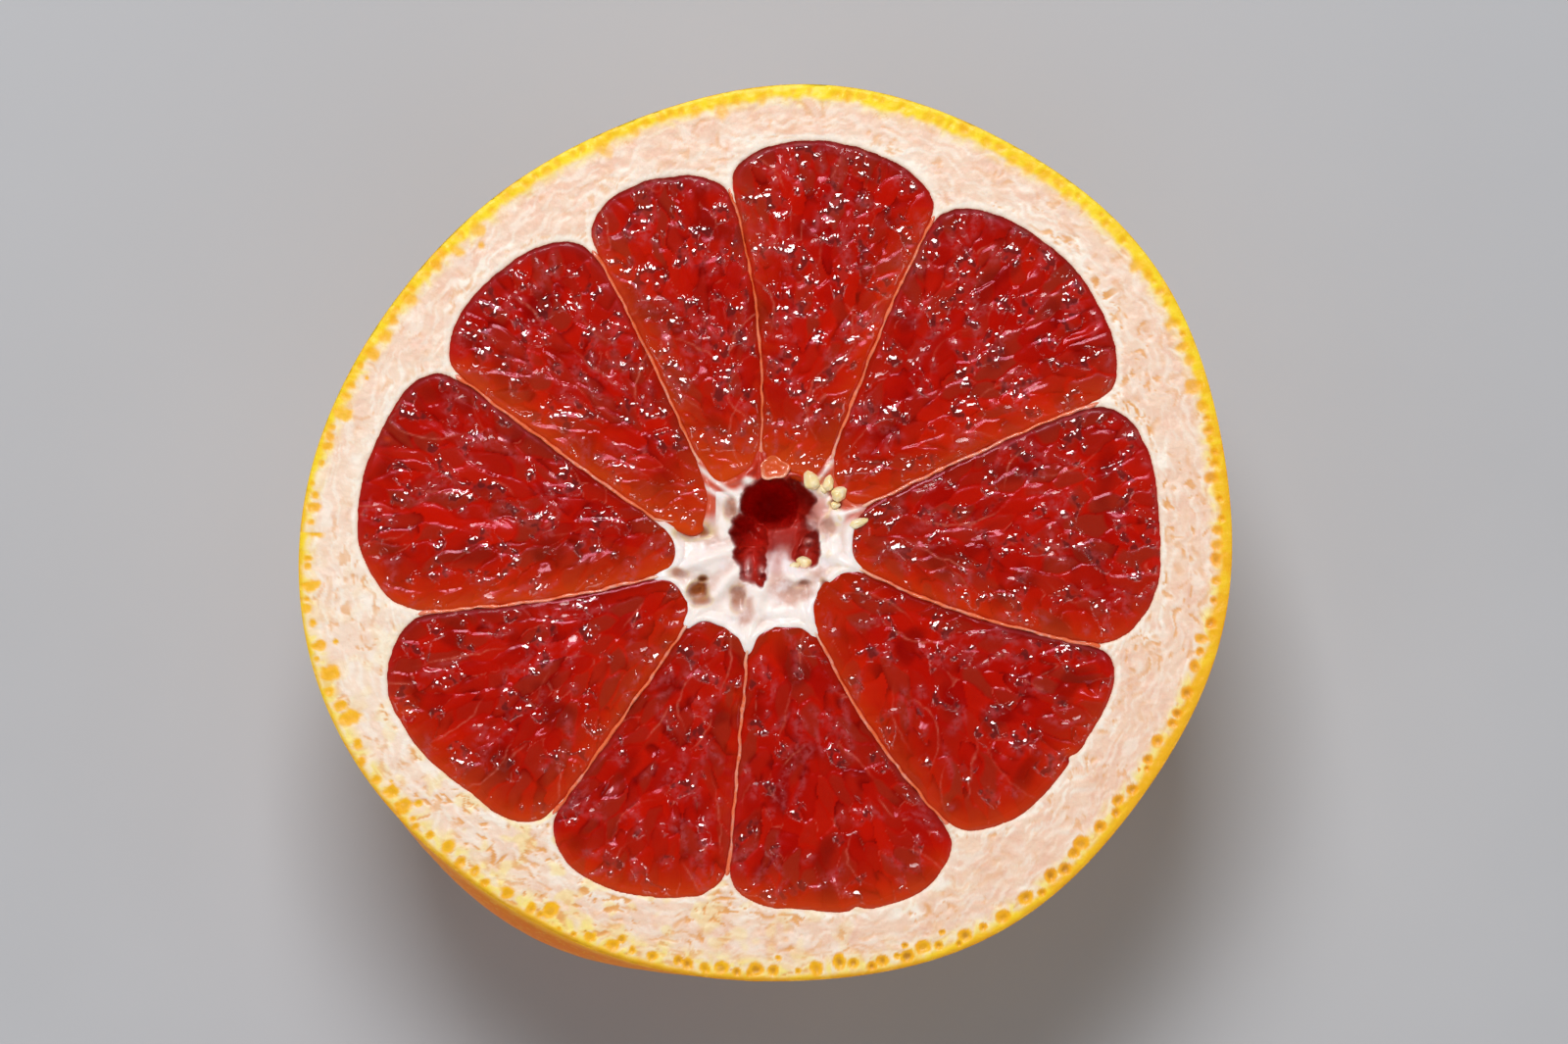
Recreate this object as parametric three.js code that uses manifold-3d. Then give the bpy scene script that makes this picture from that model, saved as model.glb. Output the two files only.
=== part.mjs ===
// Half of a pink grapefruit, cut across between its poles and lying on its rind, cut face up.
// Millimetres, +Z up. The peel is one solid: rind, white pith, the membranes between the
// segments and the pithy core. Ten segments of flesh fill its pockets from the cut face down.
// The shapes are worked out about the core's axis, cut face at z = 0; the last lines then put
// the group's origin at the middle of the base.
import * as THREE from 'three';
import Module from 'manifold-3d';

const wasm = await Module();
wasm.setup();

// ---- Driving dimensions: millimetres and degrees --------------------------------------

const RIM_RADIUS = 51.2; // mean radius of the cut face
const POLE_DEPTH = 46.5; // from the cut face to where the rounded pole would end
const REST_RADIUS = 7; // flat spot that the half lies on

// The cut face is no true circle. Each wave runs `count` times round it, `height` high.
const RIM_WAVES = [
  { count: 1, height: 0.87, crest: -73 },
  { count: 2, height: 1.4, crest: 21.5 },
  { count: 3, height: 0.79, crest: -51 },
  { count: 4, height: 0.26, crest: 17.5 },
  { count: 7, height: 0.19, crest: -13.5 },
  { count: 8, height: 0.15, crest: -11.5 },
];

// One flank swells out below the cut, so that its rind shows past the cut edge from above.
const FLANK = { swell: 3.2, angle: 239, spread: 19, depth: 12 };

// Membranes, anticlockwise: the angle where each one crosses three radii.
const WALL_RADII = { inner: 11, middle: 22, outer: 38.5 };
const WALLS = [
  { inner: 14.6, middle: 20.3, outer: 21.5 },
  { inner: 51, middle: 60, outer: 62.5 },
  { inner: 95, middle: 93.2, outer: 96.5 },
  { inner: 136, middle: 125.5, outer: 122 },
  { inner: 178.5, middle: 161.8, outer: 154 },
  { inner: 203, middle: 198.5, outer: 193.5 },
  { inner: 226.5, middle: 231, outer: 232.5 },
  { inner: 258.5, middle: 261.5, outer: 263 },
  { inner: 294.3, middle: 296, outer: 301 },
  { inner: 336.3, middle: 337, outer: 340.5 },
];
const MEMBRANE = 0.7; // thickness of the membrane between two segments

// Segments, each between one wall and the next: radius of the inner tip, radius of the outer
// edge, how much more that edge reaches on its anticlockwise side, how far the shoulders drop
// at the walls, and a ripple along the edge with a crest at `rippleAt` (-1 to 1 across).
const SEGMENTS = [
  { tip: 9.3, reach: 44.3, lean: -0.4, shoulder: 6.1, ripple: 0.2, rippleAt: 0 },
  { tip: 7.2, reach: 43.5, lean: -0.3, shoulder: 5.4, ripple: 0.2, rippleAt: 0.1 },
  { tip: 7.4, reach: 41.0, lean: 0.2, shoulder: 4.7, ripple: 0.1, rippleAt: 0.3 },
  { tip: 7.7, reach: 41.7, lean: 1.1, shoulder: 5.3, ripple: 0, rippleAt: 0 },
  { tip: 11.0, reach: 45.4, lean: 0.9, shoulder: 7.1, ripple: 0.4, rippleAt: 0.3 },
  { tip: 12.3, reach: 45.6, lean: -0.6, shoulder: 8.0, ripple: 0.8, rippleAt: -0.3 },
  { tip: 12.2, reach: 43.2, lean: -1.0, shoulder: 5.9, ripple: 0.3, rippleAt: -0.3 },
  { tip: 11.2, reach: 43.1, lean: 0.6, shoulder: 5.5, ripple: 0.5, rippleAt: 0.3 },
  { tip: 9.0, reach: 42.2, lean: 0.3, shoulder: 4.5, ripple: 0.3, rippleAt: -0.5 },
  { tip: 9.4, reach: 43.4, lean: -0.2, shoulder: 6.5, ripple: 0.3, rippleAt: -0.6 },
];
const RIPPLE_PERIOD = 1.4; // in the same measure across a segment
const TIP_ROUND = 2.2; // how far the inner tip's corners are rounded off
const CORNER_POWER = 2.6; // 2 would make the shoulders elliptical, more makes them squarer
const FLESH_DEPTH = 37.5; // depth where the flesh would end on the axis, above the pole's pith
const LAST_SECTION = 0.14; // size of a segment's lowest section, to its size on the cut face
const GAP = 0.3; // clearance between the flesh and its pocket

// The hollow in the middle of the core: an oval opening, narrowing as it goes down.
const HOLLOW = { x: 0.8, y: 0, halfWidth: 4.7, halfLength: 5.9, depth: 24 };
const HOLLOW_LOBES = { count: 5, height: 0.05, crest: 30 };

const RIM_STEPS = 72; // points round the rind
const RIND_RINGS = 12; // sections from the cut edge down to the resting spot
const FLESH_RINGS = 6; // sections of a segment
const SHOULDER_STEPS = 4; // points along each rounded shoulder of a segment
const SIDE_STEPS = 4; // stretches along each membrane
const TIP_STEPS = 2; // points along each rounded corner of the inner tip
const HOLLOW_STEPS = 16;
const CUT_OVERSHOOT = 1; // how far the cutting shapes stand above the cut face

// ---- Outlines ---------------------------------------------------------------------------

const radians = THREE.MathUtils.degToRad;

function rimRadius(angle) {
  return RIM_WAVES.reduce(
    (radius, wave) => radius + wave.height * Math.cos(wave.count * (angle - radians(wave.crest))),
    RIM_RADIUS,
  );
}

// Extra radius of the swollen flank, full at FLANK.depth below the cut and none at the cut.
function flankSwell(angle, depth) {
  const away = Math.atan2(Math.sin(angle - radians(FLANK.angle)), Math.cos(angle - radians(FLANK.angle)));
  const around = Math.exp(-((away / radians(FLANK.spread)) ** 2));
  const down = (depth / FLANK.depth) * Math.exp(1 - depth / FLANK.depth);
  return FLANK.swell * around * down;
}

function rindSection(depth) {
  const shrink = Math.sqrt(1 - (depth / POLE_DEPTH) ** 2);
  return ringOf(RIM_STEPS, (angle) => shrink * (rimRadius(angle) + flankSwell(angle, depth)));
}

// Angle of a membrane at a radius: a parabola in the radius's logarithm through its three angles.
function wallAngle(wall, radius) {
  const at = Math.log(radius);
  const inner = Math.log(WALL_RADII.inner);
  const middle = Math.log(WALL_RADII.middle);
  const outer = Math.log(WALL_RADII.outer);
  const firstSlope = (wall.middle - wall.inner) / (middle - inner);
  const secondSlope = (wall.outer - wall.middle) / (outer - middle);
  const bend = (secondSlope - firstSlope) / (outer - inner);
  return radians(wall.inner + firstSlope * (at - inner) + bend * (at - inner) * (at - middle));
}

// A point of a segment: `across` runs from -1 at its clockwise wall to 1 at the other one.
function cellPoint(index, across, radius) {
  const clockwise = wallAngle(WALLS[index], radius);
  let anticlockwise = wallAngle(WALLS[(index + 1) % WALLS.length], radius);
  if (anticlockwise < clockwise) anticlockwise += 2 * Math.PI;
  const halfWall = (MEMBRANE / 2 + GAP) / radius;
  const middle = (clockwise + anticlockwise) / 2;
  const halfAngle = (anticlockwise - clockwise) / 2 - halfWall;
  const angle = middle + across * halfAngle;
  return new THREE.Vector2(radius * Math.cos(angle), radius * Math.sin(angle));
}

// Outline of a segment on the cut face, anticlockwise from its clockwise shoulder.
function segmentOutline(index) {
  const { tip, reach, lean, shoulder, ripple, rippleAt } = SEGMENTS[index];
  const outerEdge = (across, fullness) => {
    const wave = ripple * Math.cos((2 * Math.PI * (across - rippleAt)) / RIPPLE_PERIOD);
    return reach + lean * across + wave - shoulder * (1 - fullness);
  };
  const innerEdge = (across, fullness) => tip + TIP_ROUND * (1 - fullness);

  const points = [];
  addRoundedEnd(points, index, outerEdge, SHOULDER_STEPS, 1);
  addSide(points, index, 1, outerEdge(1, 0), innerEdge(1, 0));
  addRoundedEnd(points, index, innerEdge, TIP_STEPS, -1);
  addSide(points, index, -1, innerEdge(-1, 0), outerEdge(-1, 0));
  return points;
}

// One end of a segment, from wall to wall: a superellipse, travelled in the given direction.
function addRoundedEnd(points, index, edge, steps, direction) {
  for (let step = -steps; step <= steps; step += 1) {
    const turn = (Math.PI / 2) * (step / steps);
    const across = direction * Math.sign(step) * Math.abs(Math.sin(turn)) ** (2 / CORNER_POWER);
    const fullness = Math.abs(Math.cos(turn)) ** (2 / CORNER_POWER);
    points.push(cellPoint(index, across, edge(across, fullness)));
  }
}

// The points between the two ends along one membrane, without the ends' own corner points.
function addSide(points, index, across, fromRadius, toRadius) {
  for (let step = 1; step < SIDE_STEPS; step += 1) {
    const radius = THREE.MathUtils.lerp(fromRadius, toRadius, step / SIDE_STEPS);
    points.push(cellPoint(index, across, radius));
  }
}

// An outline moved outwards by a distance, each corner along the mean of its two edge normals.
function offsetOutline(outline, distance) {
  return outline.map((point, i) => {
    const before = outline[(i + outline.length - 1) % outline.length];
    const after = outline[(i + 1) % outline.length];
    const along = after.clone().sub(before).normalize();
    return new THREE.Vector2(point.x + distance * along.y, point.y - distance * along.x);
  });
}

function ringOf(steps, radiusAt) {
  return Array.from({ length: steps }, (unused, i) => {
    const angle = (2 * Math.PI * i) / steps;
    return new THREE.Vector2(radiusAt(angle) * Math.cos(angle), radiusAt(angle) * Math.sin(angle));
  });
}

function hollowSection(size) {
  const { count, height, crest } = HOLLOW_LOBES;
  return ringOf(HOLLOW_STEPS, (angle) => 1 + height * Math.cos(count * (angle - radians(crest)))).map(
    (point) =>
      new THREE.Vector2(
        HOLLOW.x + size * HOLLOW.halfWidth * point.x,
        HOLLOW.y + size * HOLLOW.halfLength * point.y,
      ),
  );
}

// ---- Solids -----------------------------------------------------------------------------

// A closed solid through sections that all have the same number of points, highest first.
function loft(sections) {
  const count = sections[0].outline.length;
  const vertices = sections.flatMap(({ outline, z }) => outline.flatMap((point) => [point.x, point.y, z]));
  const triangles = [];
  for (let level = 0; level < sections.length - 1; level += 1) {
    for (let i = 0; i < count; i += 1) {
      const next = (i + 1) % count;
      const upper = level * count;
      const lower = upper + count;
      triangles.push(upper + i, lower + i, lower + next);
      triangles.push(upper + i, lower + next, upper + next);
    }
  }
  const lowest = (sections.length - 1) * count;
  for (const [a, b, c] of THREE.ShapeUtils.triangulateShape(sections[0].outline, [])) {
    triangles.push(a, b, c);
  }
  for (const [a, b, c] of THREE.ShapeUtils.triangulateShape(sections.at(-1).outline, [])) {
    triangles.push(lowest + a, lowest + c, lowest + b);
  }
  return new wasm.Manifold(
    new wasm.Mesh({
      numProp: 3,
      vertProperties: new Float32Array(vertices),
      triVerts: new Uint32Array(triangles),
    }),
  );
}

function rindBody() {
  const lastTurn = Math.acos(REST_RADIUS / RIM_RADIUS);
  const sections = Array.from({ length: RIND_RINGS }, (unused, ring) => {
    const depth = POLE_DEPTH * Math.sin((lastTurn * ring) / (RIND_RINGS - 1));
    return { outline: rindSection(depth), z: -depth };
  });
  return loft(sections);
}

// Sections of a segment from the cut face down. Each one is the face's outline drawn towards
// the segment's inner tip, so that the flesh follows the rind round to the pole.
function segmentSections(index, clearance) {
  const outline = segmentOutline(index);
  const { tip, reach } = SEGMENTS[index];
  const tipPoint = cellPoint(index, 0, tip);
  const lastTurn = Math.acos((tip + LAST_SECTION * (reach - tip)) / reach);
  return Array.from({ length: FLESH_RINGS }, (unused, ring) => {
    const turn = (lastTurn * ring) / (FLESH_RINGS - 1);
    const size = (reach * Math.cos(turn) - tip) / (reach - tip);
    const section = outline.map((point) => point.clone().sub(tipPoint).multiplyScalar(size).add(tipPoint));
    const drop = ring === 0 ? 0 : clearance;
    return { outline: offsetOutline(section, clearance), z: -FLESH_DEPTH * Math.sin(turn) - drop };
  });
}

function pocketBody(index) {
  const sections = segmentSections(index, GAP);
  return loft([{ outline: sections[0].outline, z: CUT_OVERSHOOT }, ...sections]);
}

function hollowBody() {
  const waist = { size: 0.92, depth: 0.62 * HOLLOW.depth };
  const foot = { size: 0.6, depth: 0.92 * HOLLOW.depth };
  const floorSize = 0.3;
  return loft([
    { outline: hollowSection(1), z: CUT_OVERSHOOT },
    { outline: hollowSection(1), z: 0 },
    { outline: hollowSection(waist.size), z: -waist.depth },
    { outline: hollowSection(foot.size), z: -foot.depth },
    { outline: hollowSection(floorSize), z: -HOLLOW.depth },
  ]);
}

function peelBody() {
  const pockets = WALLS.map((wall, index) => pocketBody(index));
  return pockets.reduce((peel, pocket) => peel.subtract(pocket), rindBody()).subtract(hollowBody());
}

// ---- Meshes -----------------------------------------------------------------------------

const peelMaterial = new THREE.MeshStandardMaterial({ color: 0xf2b43a, roughness: 0.5, metalness: 0 });
const fleshMaterial = new THREE.MeshStandardMaterial({ color: 0xa81e16, roughness: 0.25, metalness: 0 });

function namedMesh(name, body, material) {
  const { vertProperties, triVerts } = body.getMesh();
  const geometry = new THREE.BufferGeometry();
  geometry.setAttribute('position', new THREE.BufferAttribute(new Float32Array(vertProperties), 3));
  geometry.setIndex(new THREE.BufferAttribute(new Uint32Array(triVerts), 1));
  geometry.computeVertexNormals();
  const mesh = new THREE.Mesh(geometry, material);
  mesh.name = name;
  return mesh;
}

const grapefruitHalf = new THREE.Group();
grapefruitHalf.add(namedMesh('peel', peelBody(), peelMaterial));
SEGMENTS.forEach((segment, index) => {
  const name = `segment_${String(index + 1).padStart(2, '0')}`;
  grapefruitHalf.add(namedMesh(name, loft(segmentSections(index, 0)), fleshMaterial));
});

// The origin is the middle of the bounding box's base.
const bounds = new THREE.Box3().setFromObject(grapefruitHalf);
const middle = bounds.getCenter(new THREE.Vector3());
grapefruitHalf.position.set(-middle.x, -middle.y, -bounds.min.z);

export default grapefruitHalf;
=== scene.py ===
"""Looks of a pink grapefruit half that lies on its rind with the cut face up.

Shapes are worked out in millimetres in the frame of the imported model, and turned into metres
when a mesh is made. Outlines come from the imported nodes, so every piece lies where they do.
"""

import math
from functools import reduce
from itertools import pairwise, product

import bpy
import numpy as np
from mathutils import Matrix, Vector


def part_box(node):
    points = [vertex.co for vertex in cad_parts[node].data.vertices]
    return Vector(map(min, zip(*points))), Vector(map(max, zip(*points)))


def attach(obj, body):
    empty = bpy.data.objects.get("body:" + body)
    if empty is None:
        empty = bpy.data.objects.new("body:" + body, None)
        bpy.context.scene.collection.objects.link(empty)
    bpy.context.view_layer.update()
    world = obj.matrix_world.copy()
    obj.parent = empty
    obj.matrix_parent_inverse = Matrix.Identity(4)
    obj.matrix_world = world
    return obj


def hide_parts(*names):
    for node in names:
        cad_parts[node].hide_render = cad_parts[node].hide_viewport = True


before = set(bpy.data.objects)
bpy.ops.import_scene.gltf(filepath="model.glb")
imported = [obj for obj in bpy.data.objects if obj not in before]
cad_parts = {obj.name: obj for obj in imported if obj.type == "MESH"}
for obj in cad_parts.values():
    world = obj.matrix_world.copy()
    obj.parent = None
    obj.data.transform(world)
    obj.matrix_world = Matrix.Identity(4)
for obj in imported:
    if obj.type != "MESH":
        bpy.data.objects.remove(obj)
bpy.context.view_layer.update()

MM = 0.001
FACE_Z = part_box("peel")[1].z / MM  # height of the cut face
SEGMENTS = sorted(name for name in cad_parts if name.startswith("segment"))

# ---- Noise ----


def hashed(cells, seed):
    """A number from 0 to 1 for each row of whole numbers."""
    mixed = np.full(len(cells), (seed * 2654435761) % 2**32, np.uint64)
    for column in cells.T:
        mixed ^= (column.astype(np.int64) & 0xFFFFFFFF).astype(np.uint64)
        mixed = (mixed * 0x9E3779B1) & 0xFFFFFFFF
        mixed ^= mixed >> np.uint64(15)
        mixed = (mixed * 0x85EBCA6B) & 0xFFFFFFFF
        mixed ^= mixed >> np.uint64(13)
    return mixed.astype(float) / 2**32


def gradient_noise(points, seed):
    """Perlin's noise in as many dimensions as the points have, about -1 to 1."""
    axes = points.shape[1]
    cell = np.floor(points)
    inside = points - cell
    ease = inside**3 * (inside * (inside * 6 - 15) + 10)
    total = np.zeros(len(points))
    for corner in product((0, 1), repeat=axes):
        corner_cell = (cell + corner).astype(np.int64)
        weight = np.prod(np.where(corner, ease, 1 - ease), axis=1)
        slopes = [hashed(corner_cell, seed + 101 * axis) * 2 - 1 for axis in range(axes)]
        total += weight * sum(s * (inside[:, a] - corner[a]) for a, s in enumerate(slopes))
    return total * 1.7


def noise(points, size, seed, octaves=1):
    """Gradient noise with features about `size` long, each octave half as large.

    The seed picks the pattern. The size is one number, or one for each axis.
    """
    scaled = np.asarray(points, float) / size
    return sum(gradient_noise(scaled * 2**k + 31.7 * k, seed + k) / 2**k for k in range(octaves))


def drift(points, size, seed, octaves=1):
    """A push in x and y for each point, which makes what is drawn on the points uneven."""
    return np.stack([noise(points, size, seed + k, octaves) for k in (0, 1)], 1)


def cells_of(points, seed, jitter=0.85):
    """Voronoi cells of side 1: distance from the nearest cell's spot, and that cell."""
    home = np.floor(points).astype(np.int64)
    nearest = np.full(len(points), 9.0)
    owner = np.zeros_like(home)
    for step in product((-1, 0, 1), repeat=points.shape[1]):
        cell = home + np.array(step)
        spot = np.stack([hashed(cell, seed + 57 * axis) for axis in range(points.shape[1])], 1)
        distance = np.linalg.norm(points - (cell + 0.5 + jitter * (spot - 0.5)), axis=1)
        closer = distance < nearest
        nearest = np.where(closer, distance, nearest)
        owner[closer] = cell[closer]
    return nearest, owner


def ramp(value, low, high):
    """0 at low, 1 at high and smooth between."""
    t = np.clip((value - low) / (high - low), 0, 1)
    return t * t * (3 - 2 * t)


def patches(points, size, seed, low, high, octaves=1):
    """Soft blotches: 0 where noise is below low, 1 where it is above high."""
    return ramp(noise(points, size, seed, octaves), low, high)


def fade(distance, reach):
    """1 at no distance or less, and dying away from there."""
    return np.exp(-np.clip(distance, 0, None) / reach)


def bell(value, width, middle=0.0):
    """1 at the middle value, and less the further from it."""
    return np.exp(-(((value - middle) / width) ** 2))


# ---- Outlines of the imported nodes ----


def merged(node):
    """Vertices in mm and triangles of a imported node, equal vertices made one."""
    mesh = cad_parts[node].data
    points = np.array([v.co for v in mesh.vertices]).reshape(-1, 3) / MM
    mesh.calc_loop_triangles()
    triangles = np.array([t.vertices for t in mesh.loop_triangles])
    unique, inverse = np.unique(np.round(points, 3), axis=0, return_inverse=True)
    return unique, inverse.reshape(-1)[triangles]


def boundary_loops(faces):
    """The closed loops of edges that have a face on one side only, as lists of vertex numbers."""
    edges = np.stack([faces.T, np.roll(faces, -1, axis=1).T], -1).reshape(-1, 2)
    size = int(faces.max()) + 1
    codes = edges[:, 0] * size + edges[:, 1]
    lone = edges[~np.isin(edges[:, 1] * size + edges[:, 0], codes)]
    following = {}
    for start, end in lone.tolist():
        following.setdefault(start, []).append(end)
    loops = []
    while following:
        loop = [next(iter(following))]
        step = None
        while step != loop[0]:
            if step is not None:
                loop.append(step)
            exits = following[loop[-1]]
            step = exits.pop()
            if not exits:
                del following[loop[-1]]
        loops.append(loop)
    return loops


def top_outlines(node):
    """Outlines of the node's part of the cut face, each as (n, 2) points in mm."""
    points, triangles = merged(node)
    top = (points[triangles][:, :, 2] > FACE_Z - 0.01).all(axis=1)
    return [points[loop, :2] for loop in boundary_loops(triangles[top])]


def smooth_loop(points, count):
    """A closed centripetal Catmull-Rom curve through the points, at even spacing."""
    corners = [np.roll(points, -k, axis=0)[:, None] for k in (-1, 0, 1, 2)]
    spans = [np.sqrt(np.linalg.norm(q - p, axis=2, keepdims=True)) for p, q in pairwise(corners)]
    t1, t2, t3 = np.cumsum(spans, axis=0)
    t = t1 + (t2 - t1) * np.linspace(0, 1, 16, endpoint=False)[:, None]

    def between(a, b, start, end):
        return (a * (end - t) + b * (t - start)) / (end - start)

    a, b, c, d = corners
    ab, bc, cd = between(a, b, 0, t1), between(b, c, t1, t2), between(c, d, t2, t3)
    fine = between(between(ab, bc, 0, t2), between(bc, cd, t1, t3), t1, t2).reshape(-1, 2)
    closed = np.vstack([fine, fine[:1]])
    lengths = np.concatenate([[0], np.cumsum(np.linalg.norm(np.diff(closed, axis=0), axis=1))])
    places = np.linspace(0, lengths[-1], count, endpoint=False)
    return np.stack([np.interp(places, lengths, closed[:, k]) for k in (0, 1)], 1)


def signed_distance(points, outline):
    """Distance in mm from each point to a closed outline, positive inside it."""
    ends = np.roll(outline, -1, axis=0)
    along = ends - outline
    lengths = (along**2).sum(axis=1)
    result = np.empty(len(points))
    for chunk in np.array_split(np.arange(len(points)), len(points) // 4000 + 1):
        away = points[chunk, None, :] - outline
        share = np.clip((away * along).sum(axis=2) / lengths, 0, 1)
        gap = ((away - share[..., None] * along) ** 2).sum(axis=2).min(axis=1) ** 0.5
        y = points[chunk, None, 1]
        spans = (outline[:, 1] > y) != (ends[:, 1] > y)
        slope = along[:, 0] / np.where(along[:, 1] == 0, 1e-9, along[:, 1])
        left = points[chunk, None, 0] < outline[:, 0] + (y - outline[:, 1]) * slope
        inside = (spans & left).sum(axis=1) % 2 == 1
        result[chunk] = np.where(inside, gap, -gap)
    return result


def polar(points, centre):
    """Angle and radius of each point about a centre."""
    away = points - centre
    return np.arctan2(away[:, 1], away[:, 0]), np.hypot(away[:, 0], away[:, 1])


def loop_area(loop):
    x, y = loop.T
    return abs((x * np.roll(y, -1) - np.roll(x, -1) * y).sum()) / 2


peel_loops = sorted(top_outlines("peel"), key=loop_area)
RIM = smooth_loop(peel_loops[-1], 720)
HOLLOW = smooth_loop(peel_loops[0], 240)
FLESH = {name: smooth_loop(top_outlines(name)[0], 260) for name in SEGMENTS}
HOLLOW_CENTRE = HOLLOW.mean(axis=0)
peel_points, _ = merged("peel")
CORE = peel_points[peel_points[:, 2] < 0.01, :2].mean(axis=0)  # middle of the resting spot


def from_axis(points):
    return polar(points[:, :2], CORE)[1]


def rim_radius(angle):
    return np.interp(angle, *polar(RIM, CORE), period=math.tau)


def segment_angle(name):
    """Direction of a segment's middle from the core."""
    return math.atan2(*(FLESH[name].mean(axis=0) - CORE)[::-1])


def bearing(points, degrees, spread):
    """1 where a point lies in this direction from the core, less the further round it is."""
    angle = np.degrees(polar(points[:, :2], CORE)[0])
    return bell((angle - degrees + 180) % 360 - 180, spread)


def sides(points, *terms):
    """Sum of weighted bearings, each term a weight, a direction and a spread."""
    return sum(weight * bearing(points, *side) for weight, *side in terms)


# ---- Where the flesh is ----

STEP = 0.15  # spacing of the flesh's surface grid
HALF_GRID = 54.0  # the grid goes this far from the frame's origin
GRID_MARGIN = 1.2  # round each segment
FLESH_GROWTH = 0.42  # the pulp fills its pocket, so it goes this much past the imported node
FLESH_SKIRT = 0.5  # the pulp's surface goes on this far past its edge, sunk under the pith
# Small notches in the pulp's edge: angle in degrees, radius, depth.
NOTCHES = [(167, 44.0, 0.8), (323, 41.8, 0.5), (207, 45.4, 0.5), (283, 43.2, 0.4), (52, 43.0, 0.4)]
NOTCH_WIDTH = 0.7

TICKS = np.arange(-HALF_GRID, HALF_GRID + STEP / 2, STEP)


def at(angle_degrees, radius):
    """A point on the cut face, in polar form about the core."""
    turn = math.radians(angle_degrees)
    return CORE + radius * np.array([math.cos(turn), math.sin(turn)])


def outline_wobble(points):
    """Unevenness of the pulp's edge, in mm."""
    wobble = 0.12 * noise(points, 3.1, 11) + 0.06 * noise(points, 1.1, 12)
    for angle, radius, depth in NOTCHES:
        away = np.linalg.norm(points - at(angle, radius), axis=1)
        wobble -= depth * bell(away, NOTCH_WIDTH)
    return wobble


DEPTH = np.full((len(TICKS), len(TICKS)), -3.0)  # mm inside the nearest pulp, negative outside it
GRIDS = {}  # of each segment, the grid's points round it and their depth inside its pulp
for name, outline in FLESH.items():
    low = np.searchsorted(TICKS, outline.min(axis=0) - GRID_MARGIN)
    high = np.searchsorted(TICKS, outline.max(axis=0) + GRID_MARGIN)
    grid = np.stack(np.meshgrid(TICKS[low[0]:high[0]], TICKS[low[1]:high[1]]), -1)
    points = grid.reshape(-1, 2)
    depth = signed_distance(points, outline) + FLESH_GROWTH + outline_wobble(points)
    GRIDS[name] = points, depth.reshape(grid.shape[:2])
    window = DEPTH[low[1]:high[1], low[0]:high[0]]
    np.maximum(window, GRIDS[name][1], out=window)


def flesh_depth(points):
    """How far inside the nearest pulp each point is, read off the grid."""
    place = np.clip((points + HALF_GRID) / STEP, 0, len(TICKS) - 1.001)
    cell = place.astype(int)
    share = place - cell
    total = np.zeros(len(points))
    for dx, dy in product((0, 1), repeat=2):
        weight = np.abs(1 - dx - share[:, 0]) * np.abs(1 - dy - share[:, 1])
        total += weight * DEPTH[cell[:, 1] + dy, cell[:, 0] + dx]
    return total


# ---- Meshes ----


def make_piece(name, points, faces, material, replaces=(), colours=None):
    """A smooth mesh from points in mm and a list of (n, 3) or (n, 4) arrays of corners."""
    mesh = bpy.data.meshes.new(name)
    mesh.vertices.add(len(points))
    mesh.vertices.foreach_set("co", (np.asarray(points) * MM).astype(np.float32).ravel())
    sizes = np.concatenate([np.full(len(f), f.shape[1]) for f in faces])
    corners = np.concatenate([np.asarray(f).ravel() for f in faces])
    mesh.loops.add(len(corners))
    mesh.loops.foreach_set("vertex_index", corners.astype(np.int32))
    mesh.polygons.add(len(sizes))
    starts = np.concatenate([[0], np.cumsum(sizes)[:-1]])
    mesh.polygons.foreach_set("loop_start", starts.astype(np.int32))
    mesh.update(calc_edges=True)
    mesh.validate()
    mesh.shade_smooth()
    for key, values in (colours or {}).items():
        attribute = mesh.attributes.new(key, "FLOAT_COLOR", "POINT")
        attribute.data.foreach_set("color", np.clip(values, 0, 1).astype(np.float32).ravel())
    mesh.materials.append(material)
    piece = bpy.data.objects.new(name, mesh)
    bpy.context.scene.collection.objects.link(piece)
    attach(piece, "root")
    if replaces:
        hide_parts(*replaces)
    return piece


def grid_faces(rows, columns, closed=False):
    """Quads of points stored row by row; a closed grid joins its last column to its first."""
    across = columns if closed else columns - 1
    row, column = np.meshgrid(np.arange(rows - 1), np.arange(across), indexing="ij")
    after = (column + 1) % columns
    corners = [row * columns + column, row * columns + after,
               (row + 1) * columns + after, (row + 1) * columns + column]
    return np.stack([c.ravel() for c in corners], 1)


def compact(faces, *arrays):
    """Renumbers the faces, and drops the rows of the arrays that they don't use."""
    used = np.zeros(len(arrays[0]), bool)
    used[faces.ravel()] = True
    return (np.cumsum(used) - 1)[faces], *(a[used] for a in arrays)


def bridge(first, second):
    """Triangles between two closed loops of vertex numbers that run the same way round."""
    i = j = 0
    triangles = []
    while i < len(first) or j < len(second):
        a, b = first[i % len(first)], second[j % len(second)]
        behind = (i + 1) * len(second) <= (j + 1) * len(first)
        if j == len(second) or (i < len(first) and behind):
            i += 1
            triangles.append((a, b, first[i % len(first)]))
        else:
            j += 1
            triangles.append((a, b, second[j % len(second)]))
    return np.array(triangles)


def fan(ring, tip):
    """Triangles between a closed loop of vertex numbers and one more vertex."""
    return np.stack([ring, np.full(len(ring), tip), np.roll(ring, -1)], 1)


# ---- Materials ----


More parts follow.
